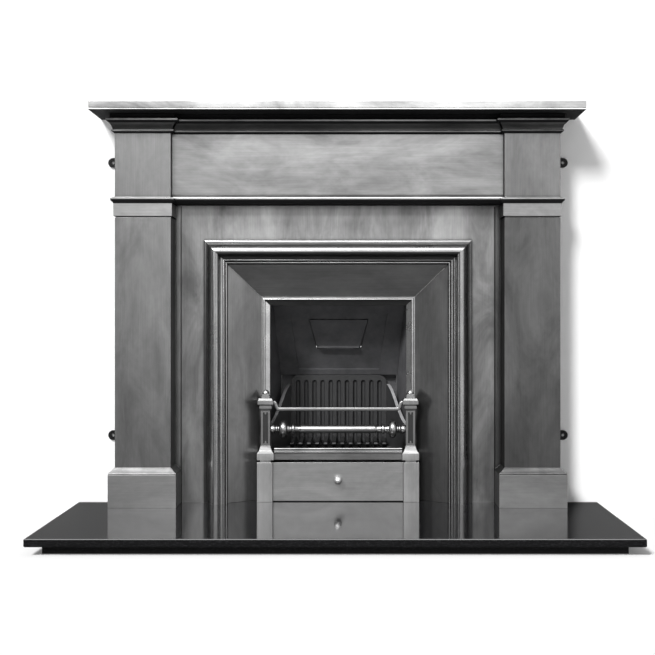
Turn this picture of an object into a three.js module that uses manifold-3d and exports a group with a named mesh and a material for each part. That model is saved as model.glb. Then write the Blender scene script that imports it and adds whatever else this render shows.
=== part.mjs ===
// A cast iron fireplace: a mantel surround, a register insert with a mitred moulding and
// splayed cheeks, a fire basket with a turned front bar, an ash drawer, and a granite hearth.
//
// Millimetres. Inside the fireplace group x runs to the right, y runs back from the wall face
// (so everything in front of the wall has y < 0) and z runs up from the top of the hearth.
// The group itself stands the hearth on z = 0 and centres the whole part on x and y.

import * as THREE from 'three';
import { mergeVertices } from 'three/addons/utils/BufferGeometryUtils.js';
import Module from 'manifold-3d';

const wasm = await Module();
wasm.setup();

// ---------------------------------------------------------------- driving dimensions

const GAP = 0.3;              // clearance wherever one casting is fitted to another
const WALL = 8;               // thickness of the iron castings

const SHELF_WIDTH = 1372;     // 54 in, the size that sets the scale of everything else
const SHELF_FRONT = 176;      // how far the shelf stands out from the wall
const SHELF_BOTTOM = 1104.5;
const SHELF_TOP = 1132.5;

const JAMB_INNER = 469;       // side faces of the pilaster shaft
const JAMB_OUTER = 626;
const JAMB_FRONT = 103;       // shaft face, out from the wall
const FRIEZE_FRONT = 81;      // the frieze panel lies behind the blocks over the pilasters
const FRIEZE_BOTTOM = 856;

const PLATE_WIDTH = 900;      // the insert's flat front plate
const PLATE_HEIGHT = 855;
const PLATE_FRONT = 10;
const MOULD_HALF = 386;       // outer edge of the bolection moulding
const MOULD_TOP = 756.5;
const MOULD_WIDTH = 70;
const SPLAY_OUTER = 315.6;    // splayed cheeks: half width and depth at both edges
const SPLAY_OUTER_Y = -26;
const SPLAY_INNER = 225;
const SPLAY_INNER_Y = 44;
const SPLAY_RISE = 369;       // the hood's height above its half width, all round
const FIRE_HALF = 200;        // clear fire opening
const FIRE_TOP = 569;

const BOX_FRONT_Y = 78;       // firebox behind the opening
const BOX_BACK_Y = 234;       // face of the fireback
const BOX_FRONT_HALF = 214;
const BOX_BACK_HALF = 178;
const FIREBACK_HALF = 147;
const FIREBACK_TOP = 355.6;
const FLUTE_COUNT = 11;
const FLUTE_PITCH = 25;

const POST_X = 210;           // fire basket
const POST_Y = 17.3;
const LEG_X = 211.7;
const LEG_TOP = 114;
const POST_BASE = 121;
const BAR_Z = 209;            // turned bar
const RAIL_Z = 267;           // top rail
const GRATE_TOP = 168;
const GRATE_BARS = 12;
const GRATE_PITCH = 24.5;

const HEARTH_WIDTH = 1500;
const HEARTH_DEPTH = 610;     // 24 in
const SLAB = 20;
const RISER = 22;
const RISER_SETBACK = 36;
const BACK_HEARTH_DEPTH = 270;

// ---------------------------------------------------------------- making solids

function bare(geometry) {
  const copy = geometry.index ? geometry.toNonIndexed() : geometry.clone();
  copy.deleteAttribute('normal');
  copy.deleteAttribute('uv');
  return mergeVertices(copy, 1e-4);
}

function solid(geometry) {
  const merged = bare(geometry);
  return new wasm.Manifold(new wasm.Mesh({
    numProp: 3,
    vertProperties: new Float32Array(merged.attributes.position.array),
    triVerts: new Uint32Array(merged.index.array),
  }));
}

function unionOf(solids) {
  return solids.reduce((whole, next) => whole.add(next));
}

function mirrored(shape) {
  return shape.mirror([1, 0, 0]);
}

// A box given by its lowest and highest corners.
function block(x0, x1, y0, y1, z0, z1) {
  const box = new THREE.BoxGeometry(x1 - x0, y1 - y0, z1 - z0);
  return solid(box.translate((x0 + x1) / 2, (y0 + y1) / 2, (z0 + z1) / 2));
}

// Outlines pulled straight along one axis. The outline is in the other two, in x, y, z order.
const ALONG = {
  x: new THREE.Matrix4().makeBasis(...['Y', 'Z', 'X'].map(axisVector)),
  y: new THREE.Matrix4().makeBasis(...['X', 'Z', '-Y'].map(axisVector)),
  z: new THREE.Matrix4(),
};

function axisVector(name) {
  const sign = name.startsWith('-') ? -1 : 1;
  const letter = name.slice(-1);
  return new THREE.Vector3(
    letter === 'X' ? sign : 0, letter === 'Y' ? sign : 0, letter === 'Z' ? sign : 0);
}

function pulled(axis, outline, from, to, curveSegments = 6) {
  const shape = Array.isArray(outline)
    ? new THREE.Shape(outline.map(([a, b]) => new THREE.Vector2(a, b)))
    : outline;
  const geometry = new THREE.ExtrudeGeometry(shape, {
    depth: to - from, bevelEnabled: false, curveSegments, steps: 1,
  });
  geometry.translate(0, 0, axis === 'y' ? -to : from);
  return solid(geometry.applyMatrix4(ALONG[axis]));
}

// A profile of [radius, distance] points turned about an axis through a centre.
function turned(axis, profile, centre, segments = 20) {
  const points = profile.map(([r, t]) => new THREE.Vector2(r, t));
  const geometry = new THREE.LatheGeometry(points, segments);
  if (axis === 'x') geometry.rotateZ(-Math.PI / 2);
  if (axis === 'z') geometry.rotateX(Math.PI / 2);
  return outward(solid(geometry.translate(...centre)));
}

function rod(axis, radius, from, to, centre, segments = 12) {
  return turned(axis, [[0, from], [radius, from], [radius, to], [0, to]], centre, segments);
}

function outward(shape) {
  return shape.volume() < 0 ? mirrored(mirrored(shape)) : shape;
}

// A skin through equal rings of points, closed at both ends by the outline's own triangles.
function lofted(rings, outline) {
  const size = outline.length;
  const positions = rings.flat().flatMap((p) => [p.x, p.y, p.z]);
  const faces = [];
  for (let k = 0; k < rings.length - 1; k += 1) {
    for (let j = 0; j < size; j += 1) {
      const a = k * size + j;
      const b = k * size + ((j + 1) % size);
      faces.push([a, b, b + size], [a, b + size, a + size]);
    }
  }
  const last = (rings.length - 1) * size;
  THREE.ShapeUtils.triangulateShape(outline, []).forEach(([a, b, c]) => {
    faces.push([c, b, a], [a + last, b + last, c + last]);
  });
  const volume = faces.reduce((sum, face) => {
    const [a, b, c] = face.map((i) => new THREE.Vector3().fromArray(positions, i * 3));
    return sum + a.dot(b.cross(c));
  }, 0);
  const geometry = new THREE.BufferGeometry();
  geometry.setAttribute('position', new THREE.Float32BufferAttribute(positions, 3));
  geometry.setIndex(faces.flatMap((face) => (volume < 0 ? face.reverse() : face)));
  return solid(geometry);
}

// A moulded block: a rectangle that grows by the first number of each [offset, z] as it rises.
// The wall side keeps its place, so mouldings return round three sides, as they do in iron.
function moulded(base, profile, sides = { left: 1, right: 1, back: 0 }) {
  const rings = profile.map(([offset, z]) => {
    const x0 = base.x0 - offset * sides.left;
    const x1 = base.x1 + offset * sides.right;
    const y0 = base.y0 - offset;
    const y1 = base.y1 + offset * sides.back;
    return [[x0, y0], [x1, y0], [x1, y1], [x0, y1]].map(([x, y]) => new THREE.Vector3(x, y, z));
  });
  return lofted(rings, rings[0].map((p) => new THREE.Vector2(p.x, p.y)));
}

// A moulding carried up one side, across the top and down the other, mitred at both corners.
// Its profile is a closed loop of [distance in from the outer edge, y].
function mitred(profile, half, top) {
  const rings = [[-1, 0], [-1, 1], [1, 1], [1, 0]].map(([side, high]) => profile.map(([u, y]) => (
    new THREE.Vector3(side * (half - u), y, high * (top - u)))));
  return lofted(rings, profile.map(([u, y]) => new THREE.Vector2(u, y)));
}

// Points along part of a circle, both ends included; angles in degrees.
function arc(cx, cy, radius, from, to, steps) {
  return Array.from({ length: steps + 1 }, (_, i) => {
    const angle = THREE.MathUtils.degToRad(from + ((to - from) * i) / steps);
    return [cx + radius * Math.cos(angle), cy + radius * Math.sin(angle)];
  });
}

// Points of a cubic curve between two ends with two handles.
function cubic(start, handleA, handleB, end, steps) {
  const curve = new THREE.CubicBezierCurve(
    ...[start, handleA, handleB, end].map(([a, b]) => new THREE.Vector2(a, b)));
  return curve.getPoints(steps).map((p) => [p.x, p.y]);
}

// A hexagon bolt with its nut, along an axis from the underside of its head.
function bolt(axis, centre, grip, { thread = 8, nut = true, reach = 0 } = {}) {
  const across = thread * 0.98;
  const headHeight = thread * 0.65;
  const tip = grip + (nut ? thread : reach);
  const pieces = [
    rod(axis, across, -headHeight, 0, centre, 6),
    rod(axis, thread / 2, -1, tip, centre, 8),
  ];
  if (nut) pieces.push(rod(axis, across, grip + GAP, grip + thread * 0.8, centre, 6));
  return unionOf(pieces);
}

function hole(axis, centre, from, to, thread = 8) {
  return rod(axis, thread / 2 + 0.5, from, to, centre, 8);
}

// ---------------------------------------------------------------- finishes

const FINISH = {
  polished: { color: 0x8d8f91, roughness: 0.34, metalness: 0.95 },
  burnished: { color: 0x77797b, roughness: 0.42, metalness: 0.9 },
  blackIron: { color: 0x2a2a2b, roughness: 0.75, metalness: 0.5 },
  fireIron: { color: 0x353536, roughness: 0.85, metalness: 0.35 },
  steel: { color: 0x9b9da0, roughness: 0.35, metalness: 1 },
  zinc: { color: 0xa3a6aa, roughness: 0.45, metalness: 1 },
  granite: { color: 0x141416, roughness: 0.12, metalness: 0 },
};

const fireplace = new THREE.Group();
fireplace.position.set(0, (HEARTH_DEPTH - BACK_HEARTH_DEPTH) / 2, SLAB + RISER);

function addPart(name, shape, finish) {
  const { vertProperties, triVerts } = shape.getMesh();
  const geometry = new THREE.BufferGeometry();
  geometry.setAttribute('position', new THREE.BufferAttribute(vertProperties, 3));
  geometry.setIndex(new THREE.BufferAttribute(triVerts, 1));
  geometry.computeVertexNormals();
  const mesh = new THREE.Mesh(geometry, new THREE.MeshStandardMaterial(FINISH[finish]));
  mesh.name = name;
  fireplace.add(mesh);
}

// Handed pieces are made for the right side and mirrored for the left.
function addPair(name, shape, finish) {
  addPart(`right_${name}`, shape, finish);
  addPart(`left_${name}`, mirrored(shape), finish);
}

// ---------------------------------------------------------------- hearth

const hearthHalf = HEARTH_WIDTH / 2;
const EASED = 2;              // eased arris of the polished stone

addPart('hearth_slab', moulded(
  { x0: -hearthHalf, x1: hearthHalf, y0: -HEARTH_DEPTH, y1: 0 },
  [[-EASED, -SLAB], [0, -SLAB + EASED], [0, -EASED], [-EASED, 0]],
), 'granite');

const riserHalf = hearthHalf - RISER_SETBACK;
const riserFront = -HEARTH_DEPTH + RISER_SETBACK;
const riserBottom = -SLAB - RISER;
addPart('hearth_riser_front',
  block(-riserHalf, riserHalf, riserFront, riserFront + SLAB, riserBottom, -SLAB), 'granite');
addPart('hearth_riser_back',
  block(-riserHalf, riserHalf, -SLAB, 0, riserBottom, -SLAB), 'granite');
const riserReturn = block(riserHalf - SLAB, riserHalf, riserFront + SLAB + GAP, -SLAB - GAP,
  riserBottom, -SLAB);
addPair('hearth_riser', riserReturn, 'granite');

const backHearthHalf = 330;
addPart('back_hearth_slab',
  block(-backHearthHalf, backHearthHalf, 1, BACK_HEARTH_DEPTH, -SLAB, 0), 'granite');
addPart('back_hearth_riser',
  block(-backHearthHalf, backHearthHalf, 1, BACK_HEARTH_DEPTH, riserBottom, -SLAB)
    .subtract(block(-backHearthHalf + SLAB, backHearthHalf - SLAB, 0, BACK_HEARTH_DEPTH - SLAB,
      riserBottom - 1, -SLAB + 1)), 'granite');

// ---------------------------------------------------------------- surround castings

// Everything above the frieze panel: undercut, bead, cove, fillet and the recessed neck
// that the shelf sits on. Offsets are from the face of the casting.
const CORNICE = [
  [0, 1050.4], [6.5, 1054.6], ...arc(6.5, 1058, 2.8, -60, 70, 4),
  ...cubic([5.2, 1061.5], [6.5, 1070], [14, 1081], [21.5, 1084.3], 6),
  [22.3, 1084.6], [22.3, 1090], [12, 1090.4], [12, SHELF_BOTTOM - GAP],
];

// Plinth with a small quirk under its chamfer, plain shaft, capital band, astragal and block.
const PLINTH_OUT = 17;
const JAMB_PROFILE = [
  [PLINTH_OUT, 0], [PLINTH_OUT, 92.5], [PLINTH_OUT - 1.6, 93], [PLINTH_OUT - 1.6, 94.4],
  [PLINTH_OUT, 94.8], [PLINTH_OUT, 96.4], [9, 102.6], [2, 109.6], [0, 110.5],
  [0, 814.3], [-2.6, 814.8], [-2.6, 817.4], [3.6, 818.1], [3.8, 853.4],
  ...cubic([4, 853.6], [5.2, 859], [10.8, 858], [11.4, 864.8], 4),
  [11.5, 868.2], [2, 872], [0, 872.4],
  ...CORNICE,
];

const jambBase = { x0: JAMB_INNER, x1: JAMB_OUTER, y0: -JAMB_FRONT, y1: 0 };
const SLIP_INNER = 453.5;     // flange beside the insert, with a tongue behind its edge
const TONGUE_INNER = 441;
const LUG_HEIGHTS = [193.4, 979.7];
const LUG_RADIUS = 14;
const LUG_PLATE = 5;
const LUG_HOLE_RADIUS = 4.2;
const SHELF_BOLT_X = 547;
const SHELF_BOLT_Y = -52;
const SIDE_BOLT_HEIGHTS = [905, 1030];
const SIDE_BOLT_Y = -34;

function jamb() {
  const outside = moulded(jambBase, JAMB_PROFILE);
  const hollow = moulded({ ...jambBase, y1: 5 }, [
    [PLINTH_OUT - WALL, -1], [PLINTH_OUT - WALL, 86], [-WALL, 104],
    [-WALL, SHELF_BOTTOM - GAP - WALL],
  ]);
  const slip = block(SLIP_INNER, JAMB_INNER + 3, -PLATE_FRONT, -PLATE_FRONT + WALL,
    0, FRIEZE_BOTTOM - 1);
  const tongue = block(TONGUE_INNER, SLIP_INNER + 1, -PLATE_FRONT + WALL + GAP, 0,
    0, FRIEZE_BOTTOM - 1);
  const cuts = LUG_HEIGHTS.map((z) => block(JAMB_OUTER - WALL - 2, JAMB_OUTER + 2,
    -LUG_PLATE - GAP, 2, z - LUG_RADIUS - GAP, z + LUG_RADIUS + GAP));
  cuts.push(hole('z', [SHELF_BOLT_X, SHELF_BOLT_Y, 0], 1090, 1110));
  SIDE_BOLT_HEIGHTS.forEach((z) => {
    cuts.push(hole('x', [0, SIDE_BOLT_Y, z], JAMB_INNER - 2, JAMB_INNER + 12));
  });
  return outside.subtract(hollow).add(slip).add(tongue).subtract(unionOf(cuts));
}

addPair('jamb', jamb(), 'polished');

// The frieze spans between the jambs. Its own bottom moulding is deeper than the jambs', and
// its cornice is scribed over the returns of theirs.
const FRIEZE_PROFILE = [
  [3.6, FRIEZE_BOTTOM], [3.8, FRIEZE_BOTTOM + 0.6],
  ...cubic([4, FRIEZE_BOTTOM + 0.8], [5.2, 860], [11, 860.5], [11.6, 866.2], 4),
  [11.7, 870], [9.5, 873.5], [2.2, 879.4], [0, 880.2],
  ...CORNICE,
];
const friezeHalf = JAMB_INNER - GAP;
const friezeBase = { x0: -friezeHalf, x1: friezeHalf, y0: -FRIEZE_FRONT, y1: 0 };
const grownJamb = moulded(
  { x0: JAMB_INNER, x1: JAMB_OUTER, y0: -JAMB_FRONT, y1: 5 },
  JAMB_PROFILE.map(([offset, z]) => [offset + GAP + 0.1, z]),
);
const friezeHollow = moulded(
  { x0: -friezeHalf + WALL, x1: friezeHalf - WALL, y0: -FRIEZE_FRONT + WALL, y1: 5 },
  [[0, FRIEZE_BOTTOM + WALL], [0, SHELF_BOTTOM - GAP - WALL]],
);
const friezeBoltHoles = unionOf([
  ...SIDE_BOLT_HEIGHTS.map((z) => hole('x', [0, SIDE_BOLT_Y, z], friezeHalf - 12, friezeHalf + 2)),
]);
addPart('frieze', moulded(friezeBase, FRIEZE_PROFILE, { left: 0, right: 0, back: 0 })
  .subtract(friezeHollow)
  .subtract(grownJamb).subtract(mirrored(grownJamb))
  .subtract(friezeBoltHoles).subtract(mirrored(friezeBoltHoles)), 'polished');

SIDE_BOLT_HEIGHTS.forEach((z, i) => {
  const head = friezeHalf - WALL - GAP;
  addPair(`frieze_bolt_${i + 1}`, bolt('x', [head, SIDE_BOLT_Y, z], 2 * WALL + 3 * GAP), 'zinc');
});

// Mantel shelf: a plain slab with an eased top edge and a bead run along its lower edge.
const shelfHalf = SHELF_WIDTH / 2;
const SHELF_PROFILE = [
  [-2.5, SHELF_BOTTOM], ...arc(-2.6, SHELF_BOTTOM + 2.7, 2.6, -70, 60, 4),
  [-1.9, SHELF_BOTTOM + 5.9], [-0.6, SHELF_BOTTOM + 7],
  [-0.6, SHELF_TOP - 4], ...arc(-4, SHELF_TOP - 3.5, 3.4, 20, 90, 3),
];
const shelfHole = hole('z', [SHELF_BOLT_X, SHELF_BOLT_Y, 0], SHELF_BOTTOM - 1, SHELF_BOTTOM + 17);
addPart('mantel_shelf', moulded(
  { x0: -shelfHalf, x1: shelfHalf, y0: -SHELF_FRONT, y1: 0 }, SHELF_PROFILE,
).subtract(shelfHole).subtract(mirrored(shelfHole)), 'polished');
addPair('shelf_bolt', bolt('z', [SHELF_BOLT_X, SHELF_BOLT_Y, SHELF_BOTTOM - 2 * GAP - WALL],
  WALL + 2 * GAP, { nut: false, reach: 15 }), 'zinc');

// Fixing lugs: bent plates bolted inside the jambs, with a round ear against the wall.
const LUG_CENTRE = 649.5;
const LUG_TAIL_X = JAMB_OUTER - WALL - GAP;
function lug(z) {
  const ear = new THREE.Shape();
  ear.moveTo(LUG_TAIL_X - LUG_PLATE, z - LUG_RADIUS);
  ear.lineTo(LUG_CENTRE, z - LUG_RADIUS);
  ear.absarc(LUG_CENTRE, z, LUG_RADIUS, -Math.PI / 2, Math.PI / 2, false);
  ear.lineTo(LUG_TAIL_X - LUG_PLATE, z + LUG_RADIUS);
  ear.closePath();
  const screwHole = new THREE.Path();
  screwHole.absarc(LUG_CENTRE, z, LUG_HOLE_RADIUS, 0, 2 * Math.PI, true);
  ear.holes.push(screwHole);
  const tail = block(LUG_TAIL_X - LUG_PLATE, LUG_TAIL_X, -48, 0, z - LUG_RADIUS, z + LUG_RADIUS);
  return pulled('y', ear, -LUG_PLATE, 0, 7).add(tail)
    .subtract(hole('x', [0, -30, z], LUG_TAIL_X - 10, LUG_TAIL_X + 2));
}
LUG_HEIGHTS.forEach((z, i) => {
  const level = ['lower', 'upper'][i];
  addPair(`${level}_lug`, lug(z), 'blackIron');
  addPair(`${level}_lug_bolt`, bolt('x', [LUG_TAIL_X - LUG_PLATE - GAP, -30, z], LUG_PLATE,
    { nut: false }), 'zinc');
});

// ---------------------------------------------------------------- insert front

// The bolection moulding, as [distance in from its outer edge, y]. Its face rises from the
// plate by a fillet and a cyma to the crown, then falls by a cove and two beads to the splay.
const MOULD_PROFILE = [
  [0, -PLATE_FRONT + 1], [0, -15], [2.5, -18], [8, -18.6], [8, -21.5],
  ...cubic([9.5, -22.5], [13, -42], [21, -33], [25.5, -54.5], 7),
  [27, -58], [41, -58], [42.5, -55.5], [45.5, -55.2],
  ...cubic([46, -54.5], [46.5, -45], [51, -38.5], [57, -37], 5),
  [57.3, -38.5], ...arc(59.6, -38.2, 2.3, 180, 350, 4), [62.2, -34.5], [63, -32],
  ...arc(66, -31.4, 2.8, 190, 350, 4), [MOULD_WIDTH, -28], [MOULD_WIDTH, -4],
  [MOULD_WIDTH - WALL, -4], [MOULD_WIDTH - WALL, -22], [50, -30], [42, -48],
  [31, -48], [19, -26], [10, -12], [10, -PLATE_FRONT + WALL], [3, -PLATE_FRONT + WALL],
];
const plateHalf = PLATE_WIDTH / 2;
const plateOpening = MOULD_HALF - 5;
const frontPlate = pulled('y', [
  [-plateHalf, 0], [-plateOpening, 0], [-plateOpening, MOULD_TOP - 5],
  [plateOpening, MOULD_TOP - 5], [plateOpening, 0], [plateHalf, 0],
  [plateHalf, PLATE_HEIGHT], [-plateHalf, PLATE_HEIGHT],
], -PLATE_FRONT, -PLATE_FRONT + WALL);
const insertBolts = { left_lower: [-400, 90], left_upper: [-400, 570], hood: [0, 770],
  right_lower: [400, 90], right_upper: [400, 570] };
const insertBoltHoles = unionOf(Object.values(insertBolts).map(([x, z]) => (
  hole('y', [x, 0, z], -PLATE_FRONT + 2.5, 1, 6))));
addPart('insert_front', frontPlate.add(mitred(MOULD_PROFILE, MOULD_HALF, MOULD_TOP))
  .subtract(insertBoltHoles), 'polished');

// Splayed cheeks and hood: flat plates that run in and back from the moulding to the fire
// opening, mitred to each other, each with a flange that bolts behind the front plate.
const FLANGE_Y = -PLATE_FRONT + WALL + GAP;
const FLANGE_OUTER = 415;
const splaySlope = (SPLAY_INNER_Y - SPLAY_OUTER_Y) / (SPLAY_OUTER - SPLAY_INNER);
const splayBack = WALL * Math.hypot(1, splaySlope);
// Points are [half width, y] for a cheek and, shifted up by SPLAY_RISE, [y, z] for the hood.
const SPLAY_SECTION = [
  [SPLAY_INNER, SPLAY_INNER_Y], [SPLAY_OUTER, SPLAY_OUTER_Y], [SPLAY_OUTER, FLANGE_Y],
  [FLANGE_OUTER, FLANGE_Y], [FLANGE_OUTER, FLANGE_Y + WALL], [SPLAY_OUTER - WALL, FLANGE_Y + WALL],
  [SPLAY_OUTER - WALL, SPLAY_OUTER_Y + WALL * splaySlope + splayBack],
  [SPLAY_INNER, SPLAY_INNER_Y + splayBack],
];
const splayBoltHoles = unionOf(Object.values(insertBolts).map(([x, z]) => (
  hole('y', [x, 0, z], FLANGE_Y - 1, FLANGE_Y + WALL + 1, 6))));
// The region above the mitre line, pulled back a hair so that neighbouring plates stay clear.
const MITRE_GAP = 0.3;
const aboveMitre = pulled('y', [
  [SPLAY_INNER - 50, SPLAY_INNER - 50 + SPLAY_RISE - MITRE_GAP], [500, 500 + SPLAY_RISE - MITRE_GAP],
  [500, 1200], [SPLAY_INNER - 50, 1200],
], -100, 100);
const rightSplay = pulled('z', SPLAY_SECTION, 0, FLANGE_OUTER + SPLAY_RISE).subtract(aboveMitre)
  .subtract(splayBoltHoles);
addPair('splay', rightSplay, 'polished');

const besideMitre = pulled('y', [
  [SPLAY_INNER - 50, SPLAY_INNER - 50 + SPLAY_RISE + MITRE_GAP], [SPLAY_INNER - 50, 400],
  [500, 400], [500, 500 + SPLAY_RISE + MITRE_GAP],
], -100, 100);
const besideFlange = block(FLANGE_OUTER - 10, 600, -60, 60, 400, 900);
addPart('hood', pulled('x', SPLAY_SECTION.map(([out, y]) => [y, out + SPLAY_RISE]), -480, 480)
  .subtract(besideMitre.add(besideFlange)).subtract(mirrored(besideMitre.add(besideFlange)))
  .subtract(splayBoltHoles), 'polished');

// A short bolt put in from behind, its head against a face at y.
function boltFromBehind(x, y, z, grip) {
  return bolt('y', [0, 0, 0], grip, { thread: 6, nut: false }).mirror([0, 1, 0])
    .translate([x, y + GAP, z]);
}

Object.entries(insertBolts).forEach(([name, [x, z]]) => {
  addPart(`${name}_insert_bolt`, boltFromBehind(x, FLANGE_Y + WALL, z, WALL + 5), 'zinc');
});

// Trim round the fire opening: a quirk, a bright bead and a flat that falls back to the fire.
const TRIM_HALF = SPLAY_INNER - GAP;
const TRIM_PROFILE = [
  [0, 50], [4, 50], [4, 45], ...arc(7.6, 45, 3.6, 180, 360, 6), [11.4, 48],
  [TRIM_HALF - FIRE_HALF, 54], [TRIM_HALF - FIRE_HALF, 76], [0, 76],
];
addPart('opening_trim', mitred(TRIM_PROFILE, TRIM_HALF, TRIM_HALF + SPLAY_RISE), 'polished');

// ---------------------------------------------------------------- firebox

// Side panels close the space behind the opening and draw in towards the fireback.
const PANEL_TOP = 608;
const PANEL_BEND_Y = 247;
const PANEL_BACK_Y = 269.5;
const sidePanel = pulled('z', [
  [BOX_FRONT_HALF, BOX_FRONT_Y], [BOX_BACK_HALF, PANEL_BEND_Y], [BOX_BACK_HALF, PANEL_BACK_Y],
  [BOX_BACK_HALF + WALL, PANEL_BACK_Y], [BOX_BACK_HALF + WALL, PANEL_BEND_Y],
  [BOX_FRONT_HALF + WALL, BOX_FRONT_Y],
], 0, PANEL_TOP);
addPair('side_panel', sidePanel, 'fireIron');

// Throat plate: leans forward over the fire, with a sunk panel and the damper's doorway, and
// a shelf at its top that runs forward to the back of the hood. A skirt hangs from its foot.
const THROAT_BOTTOM_Z = 357;
const THROAT_BOTTOM_Y = 240;
const THROAT_TOP_Z = 600;
const THROAT_TOP_Y = 139;
const throatLean = Math.atan2(THROAT_BOTTOM_Y - THROAT_TOP_Y, THROAT_TOP_Z - THROAT_BOTTOM_Z);
const throatLength = Math.hypot(THROAT_BOTTOM_Y - THROAT_TOP_Y, THROAT_TOP_Z - THROAT_BOTTOM_Z);
const THROAT_WALL = 10;
const SUNK_PANEL = { bottom: 18, top: 205, bottomHalf: 124, topHalf: 147, depth: 5 };
const DOORWAY = { bottom: 88, top: 184, bottomHalf: 68, topHalf: 90 };
const DAMPER_CLEARANCE = 2;
const HINGE = { up: 78, back: 20, pin: 4, barrel: 8 };
const SKIRT_BACK = 269.5;      // the skirt hangs behind the fireback and closes the gap over it
const SKIRT_BOTTOM = 200;

// Geometry on the plate is drawn flat, with x across, y up the slope and z out of its face,
// then stood up in place.
function onThroat(shape) {
  return shape.rotate([90 + THREE.MathUtils.radToDeg(throatLean), 0, 0])
    .translate([0, THROAT_BOTTOM_Y, THROAT_BOTTOM_Z]);
}

function trapezoid({ bottom, top, bottomHalf, topHalf }, inset = 0) {
  return [
    [-bottomHalf + inset, bottom + inset], [bottomHalf - inset, bottom + inset],
    [topHalf - inset, top - inset], [-topHalf + inset, top - inset],
  ];
}

function hingeSpan(from, to) {
  return [from, to].map((half) => rod(
    'x', HINGE.barrel, -half, half, [0, HINGE.up, -HINGE.back], 12));
}

const plateOutline = [[-230, 0], [230, 0], [230, throatLength], [-230, throatLength]];
const flatPlate = pulled('z', plateOutline, -THROAT_WALL, 0)
  .subtract(pulled('z', trapezoid(SUNK_PANEL), -SUNK_PANEL.depth, 1))
  .subtract(pulled('z', trapezoid(DOORWAY), -THROAT_WALL - 1, 1));
const [outerEar, innerEar] = hingeSpan(84, 74);
const earArms = block(-84, 84, HINGE.up - 5, HINGE.up + 5, -HINGE.back, -THROAT_WALL + 1)
  .subtract(block(-74, 74, 0, 120, -60, 1));
const pinHole = rod('x', HINGE.pin + 0.25, -100, 100, [0, HINGE.up, -HINGE.back], 12);
const ears = outerEar.subtract(innerEar).add(earArms).subtract(pinHole);
const throatShelf = block(-230, 230, 53, THROAT_TOP_Y + 4, THROAT_TOP_Z, PANEL_TOP);
const skirt = block(-230, 230, THROAT_BOTTOM_Y + 1, SKIRT_BACK, THROAT_BOTTOM_Z + 0.5,
  THROAT_BOTTOM_Z + 7)
  .add(block(-230, 230, SKIRT_BACK - 6, SKIRT_BACK, SKIRT_BOTTOM - 5, THROAT_BOTTOM_Z + 7));
const betweenPanels = pulled('z', [
  [-BOX_FRONT_HALF, 40], [BOX_FRONT_HALF, 40], [BOX_FRONT_HALF, BOX_FRONT_Y],
  [BOX_BACK_HALF, PANEL_BEND_Y], [BOX_BACK_HALF, 300], [-BOX_BACK_HALF, 300],
  [-BOX_BACK_HALF, PANEL_BEND_Y], [-BOX_FRONT_HALF, BOX_FRONT_Y],
].map(([x, y]) => [x - Math.sign(x) * GAP, y]), SKIRT_BOTTOM, 700);
addPart('throat_plate', onThroat(flatPlate.add(ears)).add(throatShelf).add(skirt)
  .intersect(betweenPanels), 'fireIron');

// Damper: a flap in the doorway, hinged along its lower edge behind the plate, with a lip at
// its foot for the poker. A rim round its top and sides shuts against the plate's back.
const FLAP_THICKNESS = 6;
const RIM = { overlap: 8, wall: 6, thickness: 4, foot: 92 };
const flap = pulled('z', trapezoid(DOORWAY, DAMPER_CLEARANCE), -2 - FLAP_THICKNESS, -2);
const lip = block(-62, 62, DOORWAY.bottom + 3, DOORWAY.bottom + 9, -3, 9);
const rimFace = -THROAT_WALL - 0.5;
const rimBack = rimFace - RIM.thickness;
const rim = pulled('z', trapezoid(DOORWAY, -RIM.overlap), rimBack, rimFace)
  .add(pulled('z', trapezoid(DOORWAY, DAMPER_CLEARANCE), rimBack, -2 - FLAP_THICKNESS / 2))
  .subtract(pulled('z', trapezoid(DOORWAY, DAMPER_CLEARANCE + RIM.wall), rimBack - 1, 0))
  .intersect(block(-200, 200, RIM.foot, 300, rimBack - 1, 0));
const [knuckleOuter, knuckleInner] = hingeSpan(64, 40);
const knuckles = knuckleOuter
  .add(block(-64, 64, HINGE.up, HINGE.up + 19, -HINGE.back - 3, -THROAT_WALL - 3))
  .add(block(-64, 64, DOORWAY.bottom + 3, HINGE.up + 19, -HINGE.back, -3))
  .subtract(knuckleInner).subtract(block(-40, 40, 0, 200, -60, 1));
addPart('damper_flap', onThroat(flap.add(lip).add(rim).add(knuckles)
  .subtract(pinHole)), 'fireIron');
const pinReach = 90;
addPart('damper_pin', onThroat(rod(
  'x', HINGE.pin, -pinReach, pinReach, [0, HINGE.up, -HINGE.back], 12)), 'steel');

// Fluted fireback: round top corners and round-topped flutes cut into its face.
const FLUTE_RADIUS = 6.6;
const FLUTE_TOP = 334;
const firebackOutline = [
  [-FIREBACK_HALF, 0], [FIREBACK_HALF, 0],
  ...arc(FIREBACK_HALF - 22, FIREBACK_TOP - 22, 22, 0, 90, 5),
  ...arc(-FIREBACK_HALF + 22, FIREBACK_TOP - 22, 22, 90, 180, 5),
];
const flute = turned('z', [
  [0, 120], [FLUTE_RADIUS, 120], ...arc(0, FLUTE_TOP, FLUTE_RADIUS, 0, 90, 3),
], [0, 0, 0], 12);
const flutes = unionOf(Array.from({ length: FLUTE_COUNT }, (_, i) => (
  flute.translate([(i - (FLUTE_COUNT - 1) / 2) * FLUTE_PITCH, BOX_BACK_Y, 0]))));
addPart('fireback', pulled('y', firebackOutline, BOX_BACK_Y, BOX_BACK_Y + 28)
  .subtract(flutes), 'fireIron');

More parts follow.
